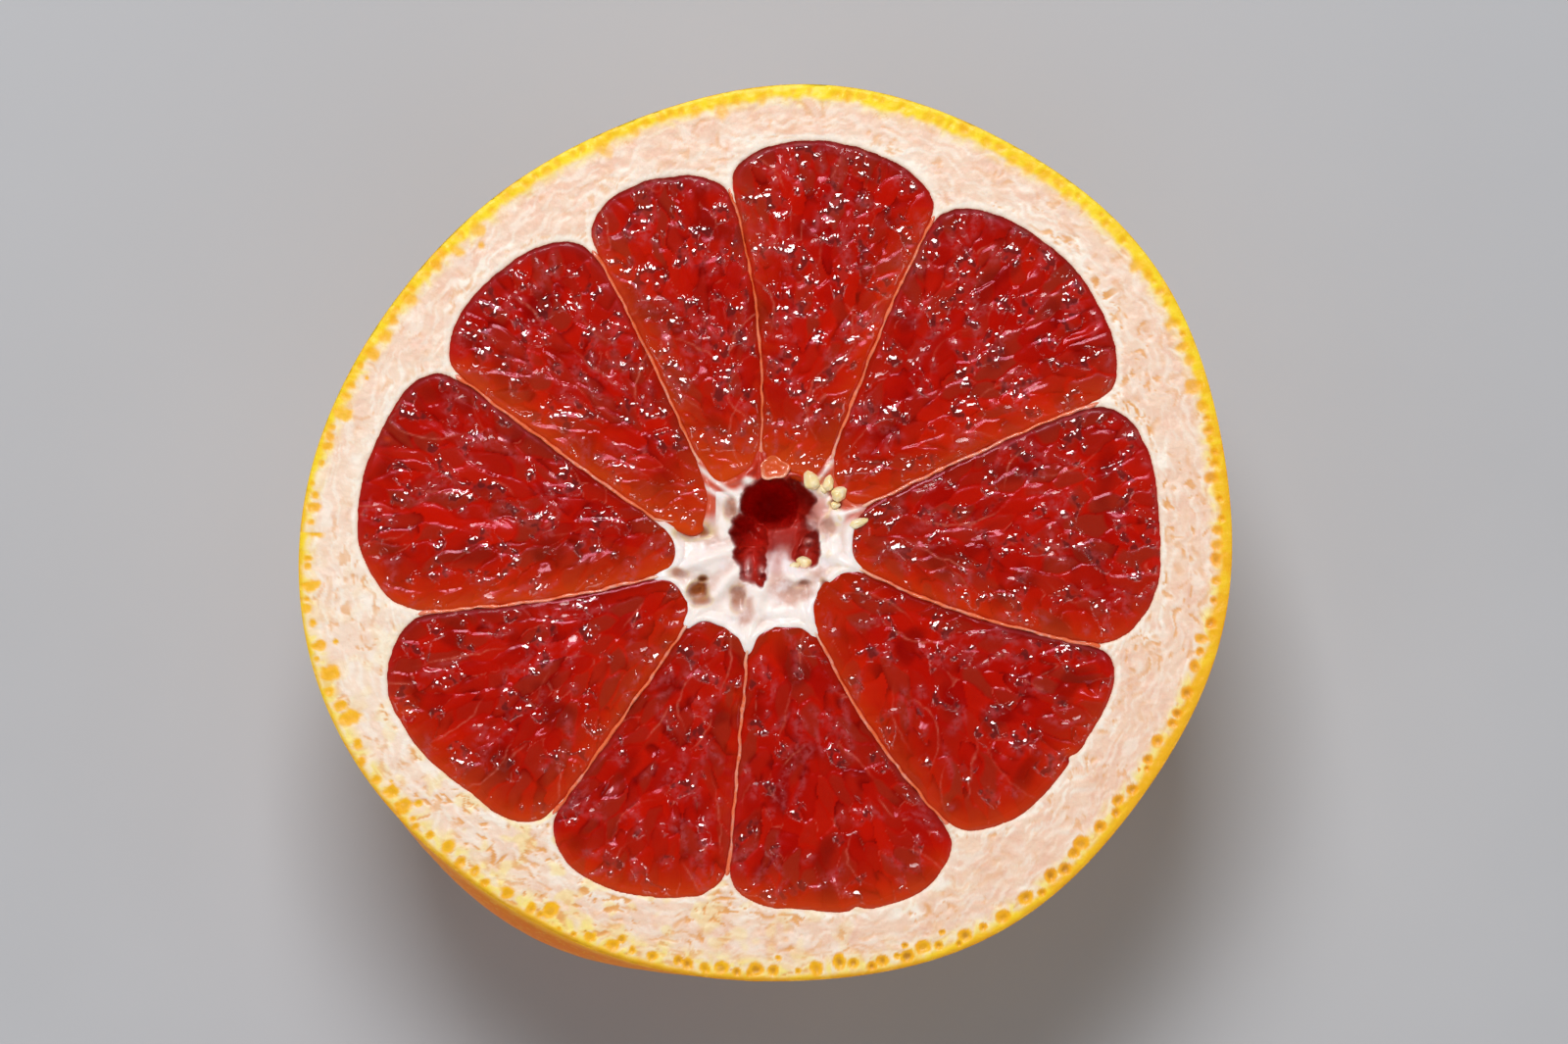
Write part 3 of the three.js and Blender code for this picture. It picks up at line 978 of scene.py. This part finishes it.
def fibres(points, around, gap):
    """Ochre fibres near the pulp and specks further out, by the gap to the pulp."""
    strand = ramp(-gap, -4.2, -1.2) * patches(around, [1.6, 0.6], 76, 0.05, 0.34, 3)
    strand *= patches(points, 4.0, 77, -0.15, 0.30, 2)
    speck = ramp(-gap, -4.5, -2.5) * patches(around, [1.3, 0.8], 78, 0.30, 0.50, 2)
    speck *= patches(points, 5.0, 79, -0.08, 0.22)
    strand = np.maximum(strand, 0.85 * speck) * ramp(gap, 0.3, 1.0)
    return strand * (0.55 + sides(points, (0.65, 10, 50), (1.6, 240, 40)))


def peel_tones(points, around, inset, band, gland, tone, in_gland):
    """Peach, yellow, orange and dark amounts of the cut peel."""
    top = bearing(points, 80, 75)
    lower = bearing(points, 262, 60)
    lower_right = bearing(points, 300, 70)
    lower_left = bearing(points, 240, 40)
    peach = 0.24 + 0.6 * top + 0.35 * lower_right + 0.5 * noise(points, 4.0, 80, 3)
    peach += sides(points, (-0.1, 190, 35), (0.3, 140, 35), (0.2, 325, 30))
    near_skin = 1 - ramp(inset, band + 0.2, band + 1.6 + 0.8 * lower + 1.2 * lower_left)
    yellow = np.clip(0.95 + 0.3 * lower - 0.45 * top, 0, 1) * near_skin
    yellow *= 0.4 + 0.8 * patches(around, [1.3, 1.4], 74, -0.2, 0.3, 2)
    yellow += 0.5 * lower_left * (1 - near_skin) * patches(points, 2.6, 82, 0.05, 0.40, 2)
    orange = 0.15 + 0.5 * tone - 0.3 * top + 0.4 * lower_right + 0.3 * noise(around, 2.0, 81, 2)
    orange -= 0.35 * lower * in_gland * ramp(tone, 0.2, 0.5)
    orange += 0.4 * lower * (1 - ramp(inset, 0.2, 0.9))
    orange += sides(points, (0.35, 345, 40), (-0.3, 285, 30))
    dark = (0.05 + (0.3 + 0.6 * tone) * lower_right) * ramp(gland, 0.30, 0.85)
    # Painted shade along the rim's very edge at the bottom.
    dark += 0.7 * lower * (1 - ramp(inset, 0.1, 0.5))
    return np.stack([peach, yellow, orange, dark], 1)


def pith_fields(points, inset):
    """Relief, colour zones and tones of the cut peel at points `inset` mm inside the rim."""
    angle, radius = polar(points, CORE)
    outside = -flesh_depth(points)
    gap = np.clip(outside, 0, None)
    around = np.stack([angle * MEAN_RADIUS, radius], 1) + 1.1 * drift(points, 3.5, 65, 2)
    top = bearing(points, 80, 75)
    lower_right = bearing(points, 300, 70)

    gland, tone = gland_fields(points)
    in_gland = ramp(gland, -0.12, 0.35 - 0.2 * lower_right + 0.3 * top) * (1 - 0.3 * top)
    halo = ramp(gland, -0.9, -0.1) * (1 - in_gland) * lower_right
    band = zest_width(points, around)
    zest = 1 - ramp(inset, band - 0.2, band + 0.5)
    near_pulp = ramp(-gap, -4.2, -1.2)
    white = patches(around, [3.2, 0.7], 75, -0.15, 0.5, 3) * (0.25 + 0.75 * near_pulp)
    white += 0.7 * fade(gap, 0.9) + 0.5 * halo + 0.4 * near_pulp * top
    white += 0.3 * bearing(points, 195, 40)
    strand = fibres(points, around, gap) * (1 - zest) * (1 - in_gland)

    height = 0.05 * noise(around, [2.6, 0.55], 71, 3) + 0.12 * noise(points, 2.4, 72, 3)
    height += 0.06 * noise(points, 0.7, 70, 2) - 0.08
    height -= 0.28 * fade(gap, 0.2) + 1.5 * ramp(-outside, 0.15, 0.8)
    height += 0.05 * halo - (0.08 + 0.16 * lower_right) * ramp(gland, -0.05, 0.75)
    height -= 0.12 * np.clip(strand, 0, 1)

    strand = np.maximum(strand, 0.6 * bell(gap, 0.2))
    zones = np.stack([zest, in_gland, 0.95 * np.clip(strand, 0, 1), white * (1 - zest)], 1)
    return height, zones, peel_tones(points, around, inset, band, gland, tone, in_gland)


def make_cut_peel(material):
    """Pith and skin as cut, from under the pulp's edge out to the rim and a little over it."""
    count = int(math.tau * from_axis(RIM).mean() / PEEL_STEP)
    turn = np.arange(count) / count
    rim = rind_point(turn, np.zeros(count))[:, :2]
    inward = (CORE - rim) / np.linalg.norm(CORE - rim, axis=1)[:, None]
    insets = np.arange(0.12, PEEL_REACH, PEEL_STEP)
    points = np.concatenate([rim + inward * inset for inset in insets])
    inset = np.repeat(insets, count)
    height, zones, tones = pith_fields(points, inset)
    height -= 0.14 * (1 - ramp(inset, 0.0, 0.5))
    rings = [np.column_stack([points, FACE_Z + height])]
    for drop in SKIRT:
        ring = rind_point(turn, np.full(count, drop / RING_DROP))
        ring[:, :2] += inward * (0.02 + 0.06 * (drop > 0.3) + 0.12 * (drop > 0.5))
        ring[:, 2] = FACE_Z - drop
        rings.insert(0, ring)
    solid = np.concatenate(rings)
    zones = np.vstack([np.tile([1, 0, 0, 0], (len(SKIRT) * count, 1)), zones])
    tones = np.vstack([np.tile(tones[:count] * [0, 0, 1, 0], (len(SKIRT), 1)), tones])

    depth = np.concatenate([np.full(len(SKIRT) * count, -9.0), flesh_depth(points)])
    faces = grid_faces(len(SKIRT) + len(insets), count, closed=True)
    faces = faces[(depth[faces] < PEEL_UNDER).all(axis=1)]
    faces, solid, zones, tones = compact(faces, solid, zones, tones)
    return make_piece("cut_peel", solid, [faces], material, ["peel"],
                      {"zones": zones, "tones": tones})


# ---- Core ----

CORE_STEP = 0.12  # spacing of the core's surface grid
CORE_HALF = 15.0  # half the width of that grid
CORE_UNDER = 0.9  # how far the core's pith goes under the pulp
SHELF_DEPTH = 1.6  # of the white shelf between the hollow's pockets, at its outer end
SHELF_FALL = 3.0  # how much deeper its inner end is
# The hollow and its side pockets: x, y, half width, half height, depth.
POCKETS = [(0.6, 3.0, 3.5, 3.4, 13.0), (3.1, 3.4, 2.6, 2.8, 6.0), (-1.6, 0.0, 2.5, 2.4, 9.0),
           (-1.5, -2.5, 2.0, 3.4, 6.5), (-0.6, -5.1, 0.8, 1.3, 3.5), (4.6, -1.6, 1.75, 2.6, 4.4)]
# Pits in the white pith: x, y, half width, half height, depth, how brown.
PITS = [(-7.6, -6.3, 1.0, 0.9, 1.2, 0.9), (-7.2, -7.5, 1.2, 0.9, 0.8, 0.6),
        (-7.0, -5.3, 0.5, 0.4, 0.8, 0.9), (-8.0, 0.2, 1.8, 1.1, 0.7, 0.95),
        (-9.8, -4.5, 1.0, 0.6, 0.4, 0.5), (-3.1, -7.3, 0.8, 1.4, 0.6, 0.6),
        (3.4, -6.6, 1.8, 1.1, 0.7, 0.1), (4.2, -5.9, 0.9, 0.5, 0.5, 0.45),
        (6.55, -6.4, 0.4, 1.0, 0.5, 0.8), (-3.9, 2.7, 0.7, 1.3, 0.6, 0.6),
        (7.2, 1.0, 0.7, 1.4, 0.5, 0.2), (8.0, 3.2, 0.6, 0.35, 0.4, 0.7),
        (-1.9, -9.0, 1.0, 1.6, 0.4, 0.1)]
# Painted highlights down in the pockets, pale raised spots where their wet floor shows glints: x,
# y, half width, half height, rise.
GLINTS = [(-1.9, -4.0, 0.34, 0.90, 2.2), (-0.5, -4.2, 0.30, 0.45, 1.8),
          (4.85, -1.1, 0.35, 0.35, 0.8)]
KNOB = (-1.9, 5.8, 0.8, 0.6)  # of white pith at the hollow's edge: x, y, half width, half height
CHEEK = (5.5, 2.4, 1.5, 2.0)  # rosy tissue beside the hollow: x, y, half width, half height
# Lumps of dense pith: x, y, half width, half height, rise.
LUMPS = [(-6.6, -3.2, 2.8, 1.5, 0.45), (7.9, -1.5, 0.8, 1.1, 0.35), (-1.5, -6.7, 1.2, 0.8, 0.30),
         (3.2, -9.2, 2.6, 0.9, 0.25), (-4.6, 0.6, 0.9, 1.6, 0.20), (-8.2, -5.9, 0.9, 0.6, 0.30),
         (6.6, 4.6, 0.9, 0.7, 0.35), (7.4, 3.4, 0.6, 0.5, 0.30), (-1.9, 5.8, 0.7, 0.5, 0.30)]


def oval(points, x, y, half_width, half_height):
    """Distance from an oval's middle, 1 at its edge."""
    return np.hypot((points[:, 0] - x) / half_width, (points[:, 1] - y) / half_height)


def blob(points, shape, power):
    """1 in the middle of an oval and 0 well outside it, the more suddenly the higher the power."""
    return np.exp(-oval(points, *shape) ** power)


def web_distance(points):
    """Distance from the nearest line between a membrane and the hollow, and how far out it is."""
    nearest = np.full(len(points), 99.0)
    beyond = np.zeros(len(points))
    for path, _ in MEMBRANES:
        start = path[0]
        length = np.linalg.norm(HOLLOW_CENTRE - start)
        along = (HOLLOW_CENTRE - start) / length
        reach = np.clip((points - start) @ along, -6.0, length)
        distance = np.linalg.norm(points - start - reach[:, None] * along, axis=1)
        beyond = np.where(distance < nearest, -reach, beyond)
        nearest = np.minimum(nearest, distance)
    return nearest, beyond


def hollow_depth(points):
    """Depth of the hollow, how far in one of its pockets each point is, and how close to one."""
    bent = points + 0.45 * drift(points, 2.0, 101, 3)
    inside = ramp(signed_distance(bent, HOLLOW), -0.3, 2.4)
    shelf = inside * (SHELF_DEPTH + SHELF_FALL * ramp(points[:, 1], -4.0, 0.5))
    pocket, inner, beside = np.zeros((3, len(points)))
    for *shape, depth in POCKETS:
        away = oval(bent, *shape)
        room = np.clip(1 - away**2, 0, 1)
        pocket = np.maximum(pocket, depth * room**0.6 * ramp(room, -0.05, 0.15))
        shelf += 0.5 * fade(away - 1, 0.2) * ramp(inside, 0.0, 0.3)
        inner = np.maximum(inner, room)
        beside = np.maximum(beside, fade(away - 1, 0.15))
    beyond_knob = 1 - blob(points, KNOB, 4)
    return np.maximum(shelf, pocket) * beyond_knob, inner * beyond_knob, beside


def pith_relief(points, outside):
    """Height of the core's pith, and how brown, creamy, ridged and covered with film it is."""
    distance, beyond = web_distance(points)
    edge = np.clip(outside, 0, None)
    ridge = np.maximum(bell(distance, 0.7), bell(edge, 0.6))
    height = 0.60 * (ridge - 0.6) + 0.28 * noise(points, 2.8, 103, 2)
    height += 0.04 * noise(points, 0.9, 104, 2)
    bent = points + 0.40 * drift(points, 1.6, 107)
    brown, cream, sunk = np.zeros((3, len(points)))
    for *shape, depth, tone in PITS:
        pit = blob(bent, shape, 3)
        height -= depth * pit
        brown = np.maximum(brown, 1.3 * tone * pit)
        cream = np.maximum(cream, tone * bell(pit, 0.2, 0.25))
        sunk = np.maximum(sunk, pit)
    for *shape, rise in LUMPS:
        lump = blob(bent, shape, 4)
        height += rise * lump
        ridge = np.maximum(ridge, lump)
    ridge -= 1.6 * sunk
    height -= 0.8 * ramp(beyond, 0.3, 3.5) + 0.15 * fade(edge, 0.2)
    height -= 1.5 * ramp(-outside, 0.15, 0.8)
    film = ramp(0.25 * noise(points, 1.5, 116, 2) - outside, -1.5, -0.6)
    line = bell(distance, 0.3) * (1 - 0.6 * ramp(beyond, 0.0, 1.5))
    film *= ramp(points[:, 1], 0.3, 2.5) * (1 - 0.8 * line)
    return height, brown, cream, ridge, film


def core_grid():
    """Faces and points of the grid over the core, and how far each point is from the pulp."""
    ticks = np.arange(-CORE_HALF, CORE_HALF, CORE_STEP)
    points = np.stack(np.meshgrid(*(HOLLOW_CENTRE[:, None] + ticks)), -1).reshape(-1, 2)
    outside = -flesh_depth(points)
    faces = grid_faces(len(ticks), len(ticks))
    near = (outside > -CORE_UNDER) & (polar(points, HOLLOW_CENTRE)[1] < CORE_HALF)
    return compact(faces[near[faces].all(axis=1)], points, outside)


def make_core(material):
    """Pith about the hollow, and the hollow itself with its pockets."""
    faces, points, outside = core_grid()
    x, y = points.T
    depth, inner, beside = hollow_depth(points)
    flat = 1 - ramp(depth, 0.1, 1.6)
    height, brown, cream, ridge, film = pith_relief(points, outside)
    bubbles = 0.16 * noise(points, 1.3, 109, 2) * ramp(inner, 0.1, 0.5)
    knob = blob(points, KNOB, 4)
    z = FACE_Z - depth + height * flat + bubbles + 0.3 * knob

    red = np.maximum(ramp(inner, 0.02, 0.35), 0.95 * ramp(depth, 1.6, 4.2))
    # Painted highlights: each glint is a pale raised spot in the red pockets.
    for *shape, rise in GLINTS:
        glint = blob(points, shape, 2)
        red *= 1 - glint
        z += rise * glint
    angle = np.degrees(polar(points, HOLLOW_CENTRE)[0]) + 9 * noise(points, 2.0, 105, 2)
    pulpy = ramp(-np.abs((angle - 92 + 180) % 360 - 180), -38, -26)
    pulpy *= ramp(outside + depth, -0.6, -0.2) * (1 - knob)
    red = np.maximum(red, pulpy * ramp(depth, 0.2, 1.0))
    # Painted shade: pinker down the pockets' sides and in pits, whiter on ridges; pinker at random
    # too.
    pink = 0.65 + 0.7 * noise(points, 3.2, 106, 2) + 0.9 * ramp(depth, 1.5, 3.5) - 0.85 * ridge
    pink -= 0.4 * ramp(-y, 6.5, 8.5)
    cream = cream * flat + 0.6 * patches(points, 1.1, 110, 0.25, 0.5, 2) * bearing(points, 30, 60)
    rose = 0.6 * beside * ramp(depth, 0.6, 2.0) * (0.4 + 0.6 * ramp(x, 0, 3))
    rose = np.maximum(rose, 0.9 * blob(points, CHEEK, 3))
    # Painted light: brighter red deep in the pockets, more towards the north.
    deep = ramp(depth, 3.5, 9.0) * (0.4 + 0.6 * ramp(y, 0.0, 2.5))
    colours = {"core": np.stack([red, brown * flat, pulpy * flat, pink], 1),
               "fluff": np.stack([cream, deep, rose, film * (1 - knob) * flat], 1)}
    return make_piece("core", np.column_stack([points, z]), [faces], material,
                      colours=colours)


# ---- Membranes ----

MEMBRANE_STEP = 0.15
MEMBRANE_RADII = (8.0, 42.0)  # from the core, between which a membrane can lie
# Section of a membrane's edge: places across in half widths, and mm over the cut face.
SECTION_ACROSS = np.array([-1.0, -1.0, -0.8, -0.4, 0.0, 0.4, 0.8, 1.0, 1.0])
SECTION_UP = np.array([-1.5, -0.24, -0.06, 0.03, 0.07, 0.03, -0.06, -0.24, -1.5])


def membrane_path(first, second):
    """Mid-line between two neighbouring segments: places, and half the gap there."""
    start, end = segment_angle(first), segment_angle(second)
    angles = start + np.linspace(0, 1, 161) * ((end - start) % math.tau)
    path, gaps = [], []
    for radius in np.arange(*MEMBRANE_RADII, MEMBRANE_STEP):
        across = CORE + radius * np.stack([np.cos(angles), np.sin(angles)], 1)
        depth = flesh_depth(across)
        lowest = depth.argmin()
        flanked = min(depth[:lowest + 1].max(), depth[lowest:].max()) > 0.35
        if depth[lowest] > -0.6 and flanked:
            near = np.exp(-(depth - depth[lowest]) / 0.03)
            path.append([radius, (angles * near).sum() / near.sum()])
            gaps.append(-depth[lowest])
    radius, angle = np.array(path).T
    kernel = np.hanning(11) / np.hanning(11).sum()
    angle = np.convolve(np.pad(angle, 5, mode="edge"), kernel, "valid")
    return CORE + radius[:, None] * np.stack([np.cos(angle), np.sin(angle)], 1), np.array(gaps)


MEMBRANES = [membrane_path(*pair) for pair in pairwise(SEGMENTS + SEGMENTS[:1])]


def make_membranes(material):
    """The thin walls between the segments, each a low rounded strip with sides that go down."""
    points, faces, films, total = [], [], [], 0
    for path, gap in MEMBRANES:
        along = np.gradient(path, axis=0)
        along /= np.linalg.norm(along, axis=1)[:, None]
        side = np.stack([along[:, 1], -along[:, 0]], 1)
        path = path + side * (0.16 * noise(path, 2.6, 111, 2))[:, None]
        north = bearing(path, 92, 40)
        half = np.clip(gap, 0.19, 0.27) + 0.08 * noise(path, 1.6, 112, 2) - 0.03 * north
        end = np.minimum(np.arange(len(path)), np.arange(len(path))[::-1]) * MEMBRANE_STEP
        lift = 0.06 * noise(path, 1.6, 113, 2) - 0.30 * (1 - ramp(end, 0.0, 1.5))
        across = SECTION_ACROSS * half[:, None]
        xy = path[:, None] + side[:, None] * across[..., None]
        z = FACE_Z + SECTION_UP + lift[:, None]
        points.append(np.concatenate([xy, z[..., None]], 2).reshape(-1, 3))
        faces.append(grid_faces(len(path), len(SECTION_UP))[:, ::-1] + total)
        total += len(path) * len(SECTION_UP)
        radius = from_axis(path)
        cream = ramp(gap, 0.32, 0.7) + 0.2 * noise(path, 3.0, 114) - 0.05
        cream += ramp(radius[0] - radius, -4.5, -0.5)
        cream *= 1 - 0.8 * north * ramp(-radius, -20, -12)
        # Painted sheen in patches along the membrane.
        pink = patches(path, 4.0, 115, -0.2, 0.3)
        orange = (0.35 + 0.5 * north) * patches(path, 3.2, 116, -0.15, 0.3, 2)
        orange *= 1 - np.clip(cream, 0, 1)
        film = np.stack([cream, pink, orange, 0 * pink], 1)
        films.append(np.repeat(film, len(SECTION_UP), axis=0))
    return make_piece("membranes", np.concatenate(points), faces, material,
                      colours={"film": np.concatenate(films)})


# ---- Small parts ----

# Unripe seeds by the hollow: x, y, height over the cut face, half length, half width, direction.
SEEDS = [(5.1, 5.9, 0.2, 1.15, 0.85, 115), (7.1, 5.6, 0.3, 0.9, 0.6, 80),
         (8.3, 4.4, 0.2, 0.95, 0.8, 35), (10.5, 1.1, 0.0, 1.25, 0.48, 20),
         (7.9, 3.1, -0.1, 0.55, 0.40, 10), (4.3, -3.4, -2.0, 0.9, 0.75, 150),
         (3.3, -3.8, -1.5, 0.7, 0.5, 30), (6.5, 4.9, 0.0, 0.55, 0.40, 130)]


def ball(columns, rows):
    """Points of a unit ball, ring by ring from the bottom and then its poles, and its faces."""
    turn = np.arange(columns) / columns * math.tau
    rise = np.linspace(-math.pi / 2, math.pi / 2, rows + 2)[1:-1]
    rise, turn = np.meshgrid(rise, turn, indexing="ij")
    points = np.stack([np.cos(rise) * np.cos(turn), np.cos(rise) * np.sin(turn), np.sin(rise)], -1)
    points = np.vstack([points.reshape(-1, 3), [[0, 0, -1], [0, 0, 1]]])
    lowest = np.arange(columns)
    highest = lowest + columns * (rows - 1)
    bottom = fan(lowest, columns * rows)
    top = fan(highest, columns * rows + 1)[:, ::-1]
    return points, [grid_faces(rows, columns, closed=True), bottom, top]


def make_seeds(material):
    """All the seeds, as one piece of uneven eggs."""
    shape, ball_faces = ball(28, 18)
    points, faces = [], []
    for k, (x, y, up, half_length, half_width, degrees) in enumerate(SEEDS):
        seed = shape * [half_length, half_width, half_width]
        seed[:, 1:] *= 1 - 0.30 * shape[:, :1]
        seed *= 1 + 0.14 * noise(shape * 1.3 + 7 * k, 1.0, 121, 2)[:, None]
        turn = math.radians(degrees)
        ahead, aside = [math.cos(turn), math.sin(turn), 0], [-math.sin(turn), math.cos(turn), 0]
        points.append(seed @ [ahead, aside, [0, 0, 1]] + [x, y, FACE_Z + up])
        faces += [part + k * len(shape) for part in ball_faces]
    return make_piece("seeds", np.concatenate(points), faces, material)


FLAP = (1.0, 7.2, 1.55, 1.20)  # x, y, half width, half height


def make_flap(material):
    """A torn sac over the hollow's edge: a dish with its rim raised on the hollow's side."""
    x, y, half_width, half_height = FLAP
    turn = np.arange(72) / 72 * math.tau
    outline = 1 + 0.10 * np.cos(3 * turn + 0.6) + 0.07 * np.sin(5 * turn)
    edge_line = np.stack([half_width * np.cos(turn), half_height * np.sin(turn)], 1)
    edge_line *= outline[:, None]
    lifted = 0.5 - 0.5 * np.sin(turn)
    dish, curl = np.linspace(0.02, 0.92, 14), np.linspace(0.4, math.pi, 7)
    sizes = np.append(dish, 0.92 + 0.16 * np.sin(curl))
    heights = np.append(0.55 * (dish / 0.92) ** 5, 0.35 + 0.20 * np.cos(curl))
    points, edges = [], []
    for size, height in zip(sizes, heights):
        ring = [x, y] + edge_line * size
        up = 0.22 + height * (0.15 + 0.85 * lifted) + 0.12 * noise(ring, 1.1, 131, 2)
        points.append(np.column_stack([ring, FACE_Z + up]))
        edges.append(ramp(size, 0.60, 0.85) * (0.3 + 0.7 * lifted))
    edge = np.append(np.concatenate(edges), 0.0)
    film = np.stack([0.6 * edge**2, 0 * edge, 0.9 * (1 - edge**2), 0 * edge], 1)
    points = np.vstack([*points, points[0].mean(axis=0)])
    middle = fan(np.arange(len(turn)), len(points) - 1)
    faces = [grid_faces(len(sizes), len(turn), closed=True), middle]
    faces = [part[:, ::-1] for part in faces]
    return make_piece("torn_flap", points, faces, material, colours={"film": film})


# ---- Setting ----

FLOOR_GREY = (0.46, 0.48, 0.51)
FLOOR_CORNERS = [(-3, -3, 0), (3, -3, 0), (3, 3, 0), (-3, 3, 0)]  # in metres


def make_floor():
    """A plain pale floor."""
    mesh = bpy.data.meshes.new("floor")
    mesh.from_pydata(FLOOR_CORNERS, [], [(0, 1, 2, 3)])
    shader = Shader("pale_floor")
    grain = shader.patches(30.0, 0.2, 0.8)
    colour = shader.mix(grain, FLOOR_GREY, [1.03 * c for c in FLOOR_GREY])
    mesh.materials.append(shader.done(colour, shader.scale(grain, 0.6, 0.7)))
    floor = bpy.data.objects.new("floor", mesh)
    bpy.context.scene.collection.objects.link(floor)


def add_light(name, direction_degrees, rise_degrees, distance, size, radiance, colour):
    """A square soft box that looks at the middle of the cut face from that direction."""
    turn, rise = math.radians(direction_degrees), math.radians(rise_degrees)
    flat = math.cos(rise)
    toward = Vector((math.cos(turn) * flat, math.sin(turn) * flat, math.sin(rise)))
    lamp = bpy.data.lights.new(name, "AREA")
    lamp.size = size
    lamp.energy = radiance * math.pi * size**2
    lamp.color = colour
    light = bpy.data.objects.new(name, lamp)
    light.location = Vector((0, 0, FACE_Z * MM)) + toward * distance
    light.rotation_euler = toward.to_track_quat("Z", "Y").to_euler()
    bpy.context.scene.collection.objects.link(light)


def light_scene():
    """Four soft boxes and a weak grey sky."""
    add_light("window", 98, 57, 1.0, 0.38, 20.0, (1.0, 0.975, 0.97))
    add_light("left_box", 205, 15, 1.1, 0.6, 2.6, (1.0, 0.98, 0.95))
    add_light("right_box", -15, 18, 1.1, 0.6, 1.8, (1.0, 0.98, 0.95))
    add_light("front_box", -78, 16, 1.1, 0.7, 1.9, (1.0, 0.98, 0.96))
    world = bpy.data.worlds.new("soft_grey")
    world.use_nodes = True
    background = world.node_tree.nodes["Background"]
    background.inputs["Color"].default_value = (1.0, 0.98, 0.96, 1)
    background.inputs["Strength"].default_value = 0.12
    bpy.context.scene.world = world
    bpy.context.scene.view_settings.view_transform = "Standard"


CAMERA_HEIGHT = 0.65  # over the cut face
VIEW_WIDTH = 0.1759  # of the picture, at the cut face
SENSOR = 36.0  # width in millimetres
VIEW_CENTRE = (0.0021, 0.0012)


def add_camera():
    """Straight above the cut face, as the half lies."""
    data = bpy.data.cameras.new("camera")
    data.sensor_width = SENSOR
    data.lens = SENSOR * CAMERA_HEIGHT / VIEW_WIDTH
    camera = bpy.data.objects.new("camera", data)
    camera.location = (*VIEW_CENTRE, FACE_Z * MM + CAMERA_HEIGHT)
    bpy.context.scene.collection.objects.link(camera)
    bpy.context.scene.camera = camera


pulp = flesh_material()
membrane = membrane_material()
for name in SEGMENTS:
    make_flesh(name, pulp)
make_cut_peel(pith_material())
make_rind(skin_material())
make_core(core_material())
make_membranes(membrane)
make_seeds(seed_material())
make_flap(membrane)
make_floor()
light_scene()
add_camera()
